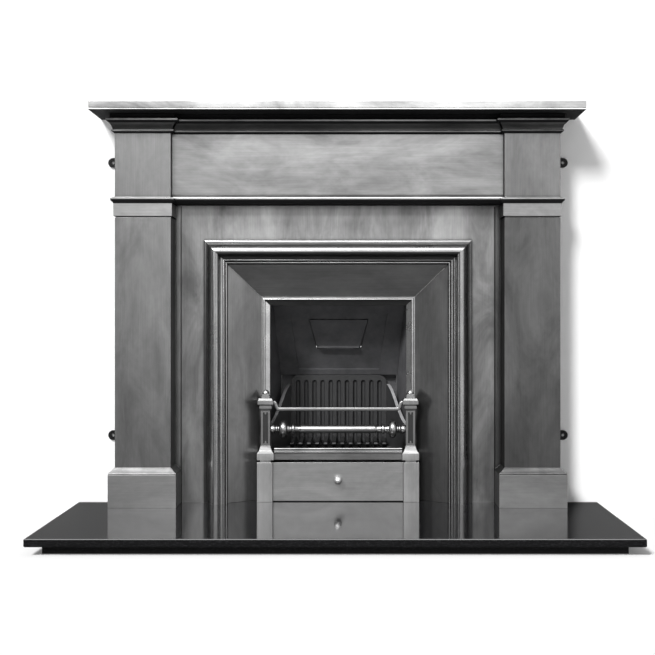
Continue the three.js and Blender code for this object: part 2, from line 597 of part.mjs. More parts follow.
// Side cheeks of the fire basket: their tops sweep down from the fireback to the front, and
// a ledge along each carries the bottom grate.
const CHEEK_FRONT_Y = BOX_FRONT_Y + 1;
const CHEEK_FRONT_HALF = 196.5;
const LEDGE_TOP = 139.5;
const CHEEK_WALL = 9.5;
const cheekPlan = [
  [CHEEK_FRONT_HALF, CHEEK_FRONT_Y], [FIREBACK_HALF + GAP, BOX_BACK_Y - 1],
  [FIREBACK_HALF + GAP, 262], [FIREBACK_HALF + CHEEK_WALL, 262],
  [FIREBACK_HALF + CHEEK_WALL, BOX_BACK_Y], [CHEEK_FRONT_HALF + CHEEK_WALL, CHEEK_FRONT_Y],
];
const cheekSide = [
  [CHEEK_FRONT_Y - 1, 0], [265, 0], [265, 328],
  ...cubic([BOX_BACK_Y, 328], [190, 322], [150, 242], [CHEEK_FRONT_Y - 1, 216], 9),
];
const cheekLedge = pulled('z', [
  [CHEEK_FRONT_HALF - 9, CHEEK_FRONT_Y], [FIREBACK_HALF - 9, BOX_BACK_Y - 1],
  [FIREBACK_HALF + 2, BOX_BACK_Y - 1], [CHEEK_FRONT_HALF + 2, CHEEK_FRONT_Y],
], 126, LEDGE_TOP);
const rightCheek = pulled('z', cheekPlan, 0, 340).intersect(pulled('x', cheekSide, 100, 230))
  .add(cheekLedge);
addPair('cheek', rightCheek, 'fireIron');

// ---------------------------------------------------------------- fire basket

// Bottom grate: bars that run front to back with rounded noses, cast on two cross rails.
const barSide = [
  ...arc(48.5, GRATE_TOP - 4.5, 4.5, 90, 270, 4), [56, GRATE_TOP - 9], [66, 148], [229, 148],
  [229, GRATE_TOP],
];
const grateBars = Array.from({ length: GRATE_BARS }, (_, i) => {
  const x = (i - (GRATE_BARS - 1) / 2) * GRATE_PITCH;
  return pulled('x', barSide, x - 5, x + 5);
});
const railReach = (y) => (CHEEK_FRONT_HALF - 3
  - ((CHEEK_FRONT_HALF - FIREBACK_HALF) * (y - CHEEK_FRONT_Y)) / (BOX_BACK_Y - CHEEK_FRONT_Y));
const crossRails = [92, 208].map((y) => block(
  -railReach(y + 12), railReach(y + 12), y, y + 12, LEDGE_TOP, 149));
addPart('bottom_grate', unionOf([...grateBars, ...crossRails]), 'fireIron');

// Legs either side of the ash drawer; each has a raised pad that carries its post, so that
// a shadow line runs right across under the basket.
const legHalf = 22.5;
const LEG_FRONT = -5;
const rightLeg = block(LEG_X - legHalf, LEG_X + legHalf, LEG_FRONT, 31, 0, LEG_TOP)
  .add(block(LEG_X - 17, LEG_X + 14, LEG_FRONT + 6, 26, LEG_TOP - 1, POST_BASE - GAP));
addPair('leg', rightLeg, 'polished');

// Posts: square base, swept foot, sunk-panelled column, collar and stepped cap.
const COLUMN_HALF = 13.3;
const POST_PROFILE = [
  [10.9, POST_BASE], [10.9, 139.6], [10.2, 141], [5.2, 147], [4.9, 148.4],
  ...cubic([4.6, 149.2], [3.4, 154], [1.4, 156], [1.1, 160.8], 3), [1, 161.6], [-0.4, 162.2],
  [-0.4, 163], [0, 163.4],
  [0, 263.2], [0.6, 264.2], [3.6, 268.4], [4.4, 269.2], [4.4, 277.6], [3.2, 278.2], [3.2, 280.6],
  [9, 281.2], [9.2, 282], [8.8, 292], [7.6, 292.6], [7.6, 293.6], [7.2, 294.2], [5.4, 298.8],
  [-1, 299.6], [-1.2, 300.4], [-1.6, 306.4], [-3.2, 307], [-3.6, 310.6],
];
const POST_PANEL = { half: 7, bottom: 168, top: 258.6, depth: 2.4, lobe: 2.2, tongue: 7 };

// A sunk panel whose ends have two round lobes and a tongue with a round tip between them.
function postPanel() {
  const { half, bottom, top, depth, lobe, tongue } = POST_PANEL;
  const tip = half - 2 * lobe;
  const shape = new THREE.Shape();
  shape.moveTo(POST_X - half, bottom + lobe);
  shape.absarc(POST_X - half + lobe, bottom + lobe, lobe, Math.PI, 2 * Math.PI, false);
  shape.absarc(POST_X, bottom + tongue - tip, tip, Math.PI, 0, true);
  shape.absarc(POST_X + half - lobe, bottom + lobe, lobe, Math.PI, 2 * Math.PI, false);
  shape.absarc(POST_X + half - lobe, top - lobe, lobe, 0, Math.PI, false);
  shape.absarc(POST_X, top - tongue + tip, tip, 0, Math.PI, true);
  shape.absarc(POST_X - half + lobe, top - lobe, lobe, 0, Math.PI, false);
  shape.closePath();
  const face = POST_Y - COLUMN_HALF;
  return pulled('y', shape, face - 1, face + depth, 3);
}
const rightPost = moulded({
  x0: POST_X - COLUMN_HALF, x1: POST_X + COLUMN_HALF,
  y0: POST_Y - COLUMN_HALF, y1: POST_Y + COLUMN_HALF,
}, POST_PROFILE, { left: 1, right: 1, back: 0.5 }).subtract(postPanel());
addPair('post', rightPost, 'burnished');

const FINIAL_BASE = 310.9;
const rightFinial = turned('z', [
  [0, 0], [10.4, 0], [11, 1], [10.8, 2.2], [8.9, 5], [6.4, 7.9], [4.2, 10.6], [2.8, 12],
  [0, 12.8],
], [POST_X, POST_Y, FINIAL_BASE], 14);
addPair('finial', rightFinial, 'burnished');

// Top rail: a round bar whose ends are cranked up into the posts' caps.
const RAIL_RADIUS = 5.6;
const RAIL_END = POST_X - COLUMN_HALF - 9.2 - GAP;
const railEnd = cubic([RAIL_END, 286.2], [RAIL_END - 9, 286.2], [RAIL_END - 5, RAIL_Z],
  [RAIL_END - 17, RAIL_Z], 8);
const railLine = [...railEnd.map(([x, z]) => [-x, z]), ...railEnd.reverse()];
const RAIL_SIDES = 10;
const railRings = railLine.map(([x, z], i) => {
  const [ax, az] = railLine[Math.max(i - 1, 0)];
  const [bx, bz] = railLine[Math.min(i + 1, railLine.length - 1)];
  const isEnd = i === 0 || i === railLine.length - 1;
  const tilt = isEnd ? 0 : Math.atan2(bz - az, bx - ax);
  return arc(0, 0, RAIL_RADIUS, 0, 360, RAIL_SIDES).slice(0, RAIL_SIDES).map(([across, up]) => (
    new THREE.Vector3(x - up * Math.sin(tilt), POST_Y + across, z + up * Math.cos(tilt))));
});
addPart('top_rail', lofted(railRings, railRings[0].map((p) => new THREE.Vector2(p.y, p.z))),
  'steel');

// Turned bar between the posts, symmetrical about its middle: a long drum, then at each end a
// tapered neck, a ring, a cove, a swelling knop, two small beads and a ball against the post.
// Pairs are [radius, distance from the middle].
const BAR_HALF = POST_X - COLUMN_HALF - GAP;
const BALL = { radius: 12.4, centre: 190.6 };
const knop = Array.from({ length: 9 }, (_, i) => {
  const angle = Math.PI * (0.09 + (0.82 * i) / 8);
  return [6.5 + 18.3 * Math.sin(angle) ** 0.8, 160.4 - 10.6 * Math.cos(angle)];
});
const barEnd = [
  [11.8, 0], [11.8, 104], [10.9, 109.5], [8.9, 112.6], [8, 114], [9.8, 121], [10.6, 125],
  [13.2, 127], [14, 129.4], [13.7, 132.6], [11.6, 135], [8.6, 136.6], [8.2, 139.6], [9.8, 141.4],
  [9.9, 144], [9.2, 146.6], ...knop, [8, 171.6], [9.8, 172.6], [9.8, 174.4], [7.4, 175.8],
  [7.2, 177], [9.2, 178.4], [9.2, 180.6], [7.2, 182],
  ...arc(BALL.centre, 0, BALL.radius * 0.55, 160, 60, 4).map(([t, r]) => [5 + r * 1.1, t]),
  [8.6, BAR_HALF],
];
addPart('turned_bar', turned('x', [
  [0, -BAR_HALF], ...barEnd.slice(1).reverse().map(([r, t]) => [r, -t]),
  ...barEnd.slice(1), [0, BAR_HALF],
], [0, POST_Y, BAR_Z], 18), 'burnished');

// Bottom rail: plain face below, a sharp arris, and a rounded lip that keeps in the coals.
const baseInner = POST_X - COLUMN_HALF - 10.9 - GAP;
addPart('bottom_rail', pulled('x', [
  [9, POST_BASE], [9, 139.6], [6, 141.4], [5.4, 143.2], [10, 145.2], [10.4, 148.4],
  ...arc(12.4, 151.6, 3.4, 190, 90, 4), [28, 155], [28, POST_BASE],
], -baseInner, baseInner), 'burnished');

// ---------------------------------------------------------------- ash drawer

const COVER_HALF = LEG_X - legHalf - 0.6;
const COVER_FRONT = 4;
const PAN = { half: 138, front: COVER_FRONT + WALL + GAP, back: 222, bottom: 0.5, top: 92, wall: 3 };
addPart('ash_cover', block(-COVER_HALF, COVER_HALF, COVER_FRONT, COVER_FRONT + WALL, 6.5, 113.4)
  .subtract(unionOf([-90, 90].map((x) => (
    hole('y', [x, 0, 48], COVER_FRONT + 3, COVER_FRONT + WALL + 1, 6)))))
  .subtract(rod('y', 3.3, COVER_FRONT - 1, COVER_FRONT + 6, [0, 0, 63], 10)), 'polished');

const ballBack = COVER_FRONT - 5;
addPart('ash_knob', turned('y', [
  [0, -22], [4.6, -21.2], [8.4, -18.4], [10.9, -14.2], [11.5, -10], [10.4, -5.4], [7.4, -2],
  [4.6, 0], [4.4, 2], [6.6, 3.4], [6.6, 4.7], [3, 4.8], [3, 10.5], [0, 10.5],
], [0, ballBack, 63], 16), 'polished');

const { half, front, back, bottom, top, wall } = PAN;
addPart('ash_pan', block(-half, half, front, back, bottom, top)
  .subtract(block(-half + wall, half - wall, front + wall, back - wall, bottom + wall, top + 5))
  .subtract(unionOf([-90, 90].map((x) => hole('y', [x, 0, 48], front - 1, front + wall + 1, 6)))),
'blackIron');
addPair('pan_screw', boltFromBehind(90, front + wall, 48, wall + 4), 'zinc');

export default fireplace;
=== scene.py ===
import math

import bmesh
import bpy
from mathutils import Matrix, Vector


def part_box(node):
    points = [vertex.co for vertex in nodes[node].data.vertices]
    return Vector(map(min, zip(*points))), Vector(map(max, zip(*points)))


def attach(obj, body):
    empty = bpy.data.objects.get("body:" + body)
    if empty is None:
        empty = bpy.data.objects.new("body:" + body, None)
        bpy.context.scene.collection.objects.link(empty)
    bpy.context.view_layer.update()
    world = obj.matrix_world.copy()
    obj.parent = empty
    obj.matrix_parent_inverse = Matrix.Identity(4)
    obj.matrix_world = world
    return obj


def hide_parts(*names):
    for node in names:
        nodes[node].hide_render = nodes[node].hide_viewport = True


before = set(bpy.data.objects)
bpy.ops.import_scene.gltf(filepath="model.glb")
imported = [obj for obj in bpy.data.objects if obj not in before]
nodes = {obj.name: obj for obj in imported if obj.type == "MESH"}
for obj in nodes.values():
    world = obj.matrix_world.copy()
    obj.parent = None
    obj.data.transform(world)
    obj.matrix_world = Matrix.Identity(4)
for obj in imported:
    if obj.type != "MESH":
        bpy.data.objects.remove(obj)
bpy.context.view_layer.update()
scene = bpy.context.scene
MM = 0.001


# ------------------------------------------------------------------ camera
# A level view camera in front of the fireplace, at about the height of the fire opening. Its
# lens and its place come from the flat underside of the shelf and the foot of the plinths.

PICTURE = 655
HORIZON_ROW = 318
CENTRE_COLUMN = 338
FOCAL_PIXELS = 1252
SENSOR = 36.0
WALL_Y = 0.170
HEARTH_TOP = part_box("hearth_slab")[1].z
CAMERA_RIGHT, CAMERA_TO_WALL, CAMERA_UP = 0.040, 3.620, 0.5316

camera_data = bpy.data.cameras.new("view_camera")
camera = bpy.data.objects.new("view_camera", camera_data)
scene.collection.objects.link(camera)
camera.location = (CAMERA_RIGHT, WALL_Y - CAMERA_TO_WALL, HEARTH_TOP + CAMERA_UP)
camera.rotation_euler = (math.radians(90), 0, 0)
camera_data.sensor_width = SENSOR
camera_data.lens = SENSOR * FOCAL_PIXELS / PICTURE
aim_column = CENTRE_COLUMN + FOCAL_PIXELS * CAMERA_RIGHT / CAMERA_TO_WALL
camera_data.shift_x = (PICTURE / 2 - aim_column) / PICTURE
camera_data.shift_y = (HORIZON_ROW - PICTURE / 2) / PICTURE
scene.camera = camera
scene.view_settings.view_transform = "Standard"


# ------------------------------------------------------------------ studio
# A white floor, and a white wall with a recess for the firebox. Grey cards lie in front of the
# hearth and stand beside the plinths, and a black one stands at the left. Only the polished
# faces see them, as they would the dark parts of a room.

def linear(hex_colour, alpha=1.0):
    def channel(pair):
        value = int(pair, 16) / 255
        return value / 12.92 if value <= 0.04045 else ((value + 0.055) / 1.055) ** 2.4
    text = hex_colour.lstrip("#")
    return tuple(channel(text[i:i + 2]) for i in (0, 2, 4)) + (alpha,)


def add(tree, kind, links=None, **settings):
    """Adds a node. A setting named after a socket fills it, and any other sets a property."""
    node = tree.nodes.new(kind)
    for key, value in settings.items():
        if hasattr(node, key):
            setattr(node, key, value)
    sockets = {s.name: s for s in reversed(node.inputs)}
    sockets.update({s.identifier: s for s in node.inputs})
    for key, value in settings.items():
        if not hasattr(node, key):
            sockets[key if key in sockets else key.replace("_", " ")].default_value = value
    for key, source in (links or {}).items():
        tree.links.new(source, node.inputs[key] if isinstance(key, int) else sockets[key])
    return node


def new_material(name):
    material = bpy.data.materials.new(name)
    material.use_nodes = True
    material.node_tree.nodes.clear()
    return material, material.node_tree


def background_rays(tree):
    """1 for the rays that show a background: from the camera, off metal and through glass."""
    path = add(tree, "ShaderNodeLightPath")
    mirrored = add(tree, "ShaderNodeMath", {0: path.outputs["Is Camera Ray"],
                   1: path.outputs["Is Glossy Ray"]}, operation="MAXIMUM")
    return add(tree, "ShaderNodeMath", {0: mirrored.outputs[0],
               1: path.outputs["Is Transmission Ray"]}, operation="MAXIMUM").outputs[0]


AMBIENT = 0.22
world = bpy.data.worlds.new("studio")
world.use_nodes = True
scene.world = world
tree = world.node_tree
tree.nodes.clear()
ambient = add(tree, "ShaderNodeBackground", Color=(AMBIENT, AMBIENT, AMBIENT, 1))
white = add(tree, "ShaderNodeBackground", Color=(1, 1, 1, 1))
sky = add(tree, "ShaderNodeMixShader", {0: background_rays(tree), 1: ambient.outputs[0],
                                        2: white.outputs[0]})
add(tree, "ShaderNodeOutputWorld", {"Surface": sky.outputs[0]})


def studio_paint(name, colour, glow=0.0, one_sided=False):
    """Matt paint. Its glow whitens it for the camera and in reflections alone."""
    material, tree = new_material(name)
    surface = add(tree, "ShaderNodeBsdfDiffuse", Color=linear(colour)).outputs[0]
    if glow:
        shine = add(tree, "ShaderNodeMath", {0: background_rays(tree)}, operation="MULTIPLY")
        shine.inputs[1].default_value = glow
        lift = add(tree, "ShaderNodeEmission", {"Strength": shine.outputs[0]})
        surface = add(tree, "ShaderNodeAddShader", {0: surface, 1: lift.outputs[0]}).outputs[0]
    if one_sided:
        clear = add(tree, "ShaderNodeBsdfTransparent")
        behind = add(tree, "ShaderNodeNewGeometry").outputs["Backfacing"]
        surface = add(tree, "ShaderNodeMixShader",
                      {0: behind, 1: surface, 2: clear.outputs[0]}).outputs[0]
    add(tree, "ShaderNodeOutputMaterial", {"Surface": surface})
    return material


def studio_panel(name, corners, faces, material, seen=True):
    """A flat piece of the studio. One that isn't seen shows in reflections alone."""
    mesh = bpy.data.meshes.new(name)
    mesh.from_pydata(corners, [], faces)
    mesh.materials.append(material)
    panel = bpy.data.objects.new(name, mesh)
    scene.collection.objects.link(panel)
    if not seen:
        panel.visible_camera = False
        panel.visible_diffuse = False
        panel.visible_shadow = False
    return panel


FLOOR_HALF = 6.0
FLOOR_Z = -0.5 * MM
studio_panel("floor", [(-FLOOR_HALF, -FLOOR_HALF, FLOOR_Z), (FLOOR_HALF, -FLOOR_HALF, FLOOR_Z),
             (FLOOR_HALF, FLOOR_HALF, FLOOR_Z), (-FLOOR_HALF, FLOOR_HALF, FLOOR_Z)],
             [(0, 1, 2, 3)], studio_paint("studio_white", "#f4f4f4", glow=0.14))
WALL_HALF, WALL_TOP, RECESS_HALF, RECESS_TOP = 4.0, 3.2, 0.42, 0.86
wall = studio_panel("wall", [(x, WALL_Y + 1 * MM, z) for z in (FLOOR_Z, RECESS_TOP, WALL_TOP)
                             for x in (-WALL_HALF, -RECESS_HALF, RECESS_HALF, WALL_HALF)],
                    [(0, 1, 5, 4), (2, 3, 7, 6), (4, 5, 9, 8), (5, 6, 10, 9), (6, 7, 11, 10)],
                    studio_paint("studio_white_wall", "#f4f4f4", glow=0.06, one_sided=True))
wall.visible_diffuse = False    # so that soft light still reaches the castings' backs
LOW_CARD_HALF, LOW_CARD_NEAR, LOW_CARD_FAR, LOW_CARD_Z = 1.9, -2.9, -0.42, 0.001
studio_panel("low_card", [(x, y, LOW_CARD_Z) for x, y in (
    (-LOW_CARD_HALF, LOW_CARD_FAR), (LOW_CARD_HALF, LOW_CARD_FAR),
    (LOW_CARD_HALF, LOW_CARD_NEAR), (-LOW_CARD_HALF, LOW_CARD_NEAR))], [(0, 3, 2, 1)],
    studio_paint("matt_low_grey_card", "#7c7c7c"), seen=False)
LEFT_CARD_FAR, LEFT_CARD_NEAR, LEFT_CARD_Z, LEFT_CARD_TOP = (-2.9, -1.1), (-1.1, -2.9), 0.002, 2.2
studio_panel("left_card", [(*LEFT_CARD_FAR, LEFT_CARD_Z), (*LEFT_CARD_NEAR, LEFT_CARD_Z),
                           (*LEFT_CARD_NEAR, LEFT_CARD_TOP), (*LEFT_CARD_FAR, LEFT_CARD_TOP)],
             [(0, 3, 2, 1)], studio_paint("matt_black_card", "#1c1c1c"), seen=False)
SIDE_CARD_NEAR, SIDE_CARD_FAR, SIDE_CARD_FOOT, SIDE_CARD_TOP = 0.46, 1.3, 0.043, 0.60
grey_card = studio_paint("matt_grey_card", "#6e6e6e")
for side in (-1, 1):
    studio_panel("side_card", [(side * x, WALL_Y - 2 * MM, z) for x, z in (
        (SIDE_CARD_NEAR, SIDE_CARD_FOOT), (SIDE_CARD_FAR, SIDE_CARD_FOOT),
        (SIDE_CARD_FAR, SIDE_CARD_TOP), (SIDE_CARD_NEAR, SIDE_CARD_TOP))], [(0, 1, 2, 3)],
        grey_card, seen=False)


def softbox(name, place, target, size, power):
    """A large soft lamp that only polished faces see, so it leaves the wall's shadow alone."""
    light = bpy.data.lights.new(name, "AREA")
    light.shape = "RECTANGLE"
    light.size, light.size_y = size
    light.energy = power
    lamp = bpy.data.objects.new(name, light)
    lamp.location = place
    lamp.rotation_euler = (Vector(target) - Vector(place)).to_track_quat("-Z", "Y").to_euler()
    lamp.visible_diffuse = False
    scene.collection.objects.link(lamp)


def sun(name, towards, strength, angle):
    """A distant lamp. A wide angle gives its shadow the soft edge of a studio lamp's."""
    light = bpy.data.lights.new(name, "SUN")
    light.energy = strength
    light.angle = math.radians(angle)
    lamp = bpy.data.objects.new(name, light)
    lamp.rotation_euler = Vector(towards).to_track_quat("-Z", "Y").to_euler()
    scene.collection.objects.link(lamp)


sun("key", towards=(0.38, 0.66, -0.62), strength=3.8, angle=15)
softbox("overhead_box", place=(-0.2, -1.05, 2.7), target=(-0.1, 0.1, 0.9), size=(3.2, 1.9),
        power=105)
softbox("front_box", place=(-0.3, -3.3, 2.35), target=(0, 0.1, 0.5), size=(2.6, 0.5), power=26)


# ------------------------------------------------------------------ hearth
# A slab of black granite on a recessed riser of the same stone, diamond sawn and wet polished
# to a mirror. Fine grey crystals and a few larger ones show under the polish.

def granite(name, dark, light, smooth, gloss):
    """Black granite. Crystals 2.4 mm across sparkle, in clouds about 110 mm across."""
    material, tree = new_material(name)
    place = add(tree, "ShaderNodeTexCoord").outputs["Object"]
    grain = add(tree, "ShaderNodeTexVoronoi", {"Vector": place}, Scale=420.0)
    fleck = add(tree, "ShaderNodeMapRange", {"Value": grain.outputs["Color"]}, From_Min=0.55,
                From_Max=0.95)
    cloud = add(tree, "ShaderNodeTexNoise", {"Vector": place}, Scale=9.0, Detail=4.0)
    stone = add(tree, "ShaderNodeMix", {"Factor_Float": fleck.outputs["Result"]},
                data_type="RGBA", A_Color=linear(dark), B_Color=linear(light))
    smear = add(tree, "ShaderNodeMapRange", {"Value": cloud.outputs["Fac"]}, To_Min=smooth,
                To_Max=smooth + 0.08)
    polish = add(tree, "ShaderNodeBsdfPrincipled", {
        "Base Color": stone.outputs[2], "Roughness": smear.outputs["Result"]}, IOR=1.54,
        Specular_IOR_Level=gloss)
    add(tree, "ShaderNodeOutputMaterial", {"Surface": polish.outputs[0]})
    return material


def plain_mesh(piece):
    """Turns a piece with its modifiers into a plain mesh."""
    graph = bpy.context.evaluated_depsgraph_get()
    finished = bpy.data.meshes.new_from_object(piece.evaluated_get(graph))
    piece.modifiers.clear()
    piece.data = finished


MERGE_DISTANCE = 0.002 * MM


def dressed(node, body, material, edge=0.6, crease=28.0, mend=None):
    """A merged copy of a CAD solid with its sharp edges eased, which stands for the node.

    The edge is how much is eased, in mm. The crease, in degrees, is the least bend that is an
    edge. What mends the solid first, where something has to, is given as a function.
    """
    shape = bmesh.new()
    shape.from_mesh(nodes[node].data)
    bmesh.ops.remove_doubles(shape, verts=shape.verts, dist=MERGE_DISTANCE)
    if mend:
        mend(shape)
    mesh = bpy.data.meshes.new(node + "_finished")
    shape.to_mesh(mesh)
    shape.free()
    piece = bpy.data.objects.new(node + "_finished", mesh)
    scene.collection.objects.link(piece)
    mesh.materials.append(material)
    mesh.shade_smooth()
    if edge:
        ease = piece.modifiers.new("eased_edges", "BEVEL")
        ease.width = edge * MM
        ease.segments = 2
        ease.limit_method = "ANGLE"
        ease.angle_limit = math.radians(crease)
        ease.use_clamp_overlap = False
        ease.miter_outer = "MITER_ARC"
    else:
        mesh.set_sharp_from_angle(angle=math.radians(crease))
    flats = piece.modifiers.new("flat_faces_stay_flat", "WEIGHTED_NORMAL")
    flats.weight = 50
    flats.keep_sharp = True
    plain_mesh(piece)
    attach(piece, body)
    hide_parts(node)
    return piece


def finish_where(piece, rule, material):
    """Gives another material to the faces that a rule on their centre and normal picks: a real
    finish in some places, painted light and shade in others.
    """
    piece.data.materials.append(material)
    for face in piece.data.polygons:
        if rule(face.center, face.normal):
            face.material_index = len(piece.data.materials) - 1


# Wet polished stone is a mirror, and its edges are honed matt.
polished_stone = granite("polished_black_granite", "#0c0c0d", "#303033", 0.04, 0.5)
sawn_stone = granite("honed_black_granite", "#0b0b0c", "#28282a", 0.3, 0.16)
for node in ("hearth_slab", "hearth_riser_front", "hearth_riser_back", "right_hearth_riser",
             "left_hearth_riser", "back_hearth_slab", "back_hearth_riser"):
    stone = dressed(node, "root", polished_stone, edge=0.4)
    finish_where(stone, lambda centre, normal: normal.z < 0.5, sawn_stone)


# ------------------------------------------------------------------ surround castings
# Jambs, frieze and shelf are grey iron cast in sand, ground, linished and buffed. The belt
# leaves faint streaks along each casting, the buff leaves smudges, and the hollows carry
# painted shade, with the unpolished iron the mop misses there.

def burnished_iron(name, tone, along, rough=0.32, hollow=0.012, cloud=1.0):
    """Grey iron polished along one axis, in the colour it shows under a white sky.

    The hollow is the depth, in metres, within which hollows are painted dark: painted shade,
    with the unpolished iron the mop misses there. The cloud is how strong the smudges are,
    which makes a soft, uneven shine.
    """
    material, tree = new_material(name)
    place = add(tree, "ShaderNodeTexCoord").outputs["Object"]

    def grain(across, lengthways, detail, **settings):
        scale = [across, across, across]
        scale["xyz".index(along)] = lengthways
        drawn = add(tree, "ShaderNodeMapping", {"Vector": place}, Scale=scale)
        return add(tree, "ShaderNodeTexNoise", {"Vector": drawn.outputs[0]}, Scale=1.0,
                   Detail=detail, **settings).outputs["Fac"]

    def ranged(source, low, high, to_low, to_high):
        return add(tree, "ShaderNodeMapRange", {"Value": source}, From_Min=low, From_Max=high,
                   To_Min=to_low, To_Max=to_high).outputs["Result"]

    def product(first, second):
        return add(tree, "ShaderNodeMath", {0: first, 1: second}, operation="MULTIPLY").outputs[0]

    # The belt's scratches are 0.1 mm apart and are drawn 2.4 mm apart, the finest that shows.
    # Smudges are about 90 mm across and 250 mm long, and spots 17 mm across and 25 mm long.
    belt = grain(420.0, 7.0, 2.0)
    smudge = grain(11.0, 4.0, 5.0, Roughness=0.6, Distortion=0.6)
    spots = grain(60.0, 40.0, 3.0)
    shade = product(ranged(smudge, 0.3, 0.7, 1 - 0.26 * cloud, 1 + 0.26 * cloud),
                    ranged(spots, 0.3, 0.7, 0.95, 1.05))
    shade = product(shade, ranged(belt, 0.3, 0.7, 0.93, 1.07))
    # Painted shade: an occlusion mask darkens the hollows, out to the given depth.
    occlusion_shade = add(tree, "ShaderNodeAmbientOcclusion", Distance=hollow, samples=8,
                  only_local=True)
    shade = product(shade, ranged(occlusion_shade.outputs["AO"], 0.30, 0.90, 0.16, 1.0))
    colour = add(tree, "ShaderNodeVectorMath", {"Scale": shade}, operation="SCALE")
    colour.inputs[0].default_value = linear(tone)[:3]
    gloss = ranged(smudge, 0.3, 0.7, rough + 0.06, rough - 0.03)
    bump = add(tree, "ShaderNodeBump", {"Height": belt}, Strength=0.04, Distance=0.0004)
    surface = add(tree, "ShaderNodeBsdfPrincipled", {
        "Base Color": colour.outputs[0], "Roughness": gloss, "Normal": bump.outputs["Normal"]},
        Metallic=1.0, Specular_Tint=linear("#8c8c8c"))
    add(tree, "ShaderNodeOutputMaterial", {"Surface": surface.outputs[0]})
    return material


def sand_cast_iron(name, tone, gloss):
    """Iron as it left the mould: dull, grainy and stained in patches 125 mm across.

    The sand's grain is 0.3 mm and is drawn at 2 mm, the finest that shows.
    """
    material, tree = new_material(name)
    place = add(tree, "ShaderNodeTexCoord").outputs["Object"]
    sand = add(tree, "ShaderNodeTexNoise", {"Vector": place}, Scale=500.0, Detail=4.0)
    stain = add(tree, "ShaderNodeTexNoise", {"Vector": place}, Scale=8.0, Detail=6.0)
    shade = add(tree, "ShaderNodeMapRange", {"Value": stain.outputs["Fac"]}, From_Min=0.3,
                From_Max=0.7, To_Min=0.75, To_Max=1.25)
    colour = add(tree, "ShaderNodeVectorMath", {"Scale": shade.outputs["Result"]},
                 operation="SCALE")
    colour.inputs[0].default_value = linear(tone)[:3]
    bump = add(tree, "ShaderNodeBump", {"Height": sand.outputs["Fac"]}, Strength=0.3,
               Distance=0.0005)
    surface = add(tree, "ShaderNodeBsdfPrincipled", {
        "Base Color": colour.outputs[0], "Normal": bump.outputs["Normal"]}, Roughness=0.85,
        Specular_IOR_Level=gloss)
    add(tree, "ShaderNodeOutputMaterial", {"Surface": surface.outputs[0]})
    return material


# Painted shade: faces looking down, the band under the shelf and the astragal's falling faces are
# painted near black, in the grain of raw iron.
underside_shade_iron = sand_cast_iron("cast_iron_painted_underside_shade", "#161617", 0.15)
sand_iron = sand_cast_iron("sand_cast_iron_back", "#66666a", 0.3)
HOLLOW_HALF = 84 * MM
# How far a face looks back, sideways or down, as the part of its normal that way.
BACKWARDS, SIDEWAYS, UNDERSIDE, FALLING = 0.4, 0.5, -0.7, -0.12


def cast_back(piece, middle=None):
    """The back of a casting, and the inside of a hollow one, stay as they left the sand."""
    finish_where(piece, lambda centre, normal: normal.y > BACKWARDS or (
        middle is not None and abs(normal.x) > SIDEWAYS and (centre.x - middle) * normal.x < 0
        and abs(centre.x - middle) < HOLLOW_HALF), sand_iron)


# The heights at which a jamb's finish and its painted light and shade change, from the foot
# of the castings.
CASTING_FOOT = HEARTH_TOP
PLINTH_TOP = CASTING_FOOT + 93 * MM
CAPITAL_FOOT, CAPITAL_TOP = CASTING_FOOT + 816 * MM, CASTING_FOOT + 854 * MM
ASTRAGAL_FOOT = CASTING_FOOT + 853.6 * MM
BLOCK_FOOT, BLOCK_TOP = CASTING_FOOT + 872 * MM, CASTING_FOOT + 1051 * MM
FASCIA_FOOT = CASTING_FOOT + 1090.2 * MM
COVE_FOOT, COVE_TOP = CASTING_FOOT + 1061 * MM, CASTING_FOOT + 1084 * MM
# The cornice's cove is painted dark, as painted shade, and the faces of the astragal and the
# frieze's bead that don't fall are painted light, as painted highlight.
cove_shade_iron = burnished_iron("burnished_iron_cove_painted_shade", "#565656", "x", cloud=1.6)
astragal_highlight_iron = burnished_iron("burnished_iron_astragal_painted_highlight", "#a8a8a8", "x", rough=0.28)
# Painted light: the right jamb's tones are darker than the left's, as painted shade, and each
# capital and plinth is lighter than its shaft, as painted highlight.
for side_name, shaft, capital, block, plinth in (
        ("left", "#8a8a8a", "#ababab", "#868686", "#aeaeae"),
        ("right", "#626262", "#949494", "#767676", "#989898")):
    jamb = dressed(side_name + "_jamb", "root",
                   burnished_iron("burnished_iron_%s_shaft" % side_name, shaft, "z", cloud=1.5))
    finish_where(jamb, lambda centre, normal: centre.z < PLINTH_TOP,
                 burnished_iron("burnished_iron_%s_plinth" % side_name, plinth, "x"))
    finish_where(jamb, lambda centre, normal: CAPITAL_FOOT < centre.z < BLOCK_TOP,
                 burnished_iron("burnished_iron_%s_block" % side_name, block, "z"))
    finish_where(jamb, lambda centre, normal: CAPITAL_FOOT < centre.z < CAPITAL_TOP,
                 burnished_iron("burnished_iron_%s_capital" % side_name, capital, "x"))
    finish_where(jamb, lambda centre, normal: COVE_FOOT < centre.z < COVE_TOP, cove_shade_iron)
    finish_where(jamb, lambda centre, normal: ASTRAGAL_FOOT < centre.z < BLOCK_FOOT
                 and normal.z > FALLING, astragal_highlight_iron)
    finish_where(jamb, lambda centre, normal: normal.z < UNDERSIDE or centre.z > FASCIA_FOOT
                 or (ASTRAGAL_FOOT < centre.z < BLOCK_FOOT and normal.z < FALLING), underside_shade_iron)
    jamb_low, jamb_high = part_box(side_name + "_jamb")
    cast_back(jamb, (jamb_low.x + jamb_high.x) / 2)
frieze = dressed("frieze", "root",
                 burnished_iron("burnished_iron_frieze", "#868686", "x", cloud=1.7))
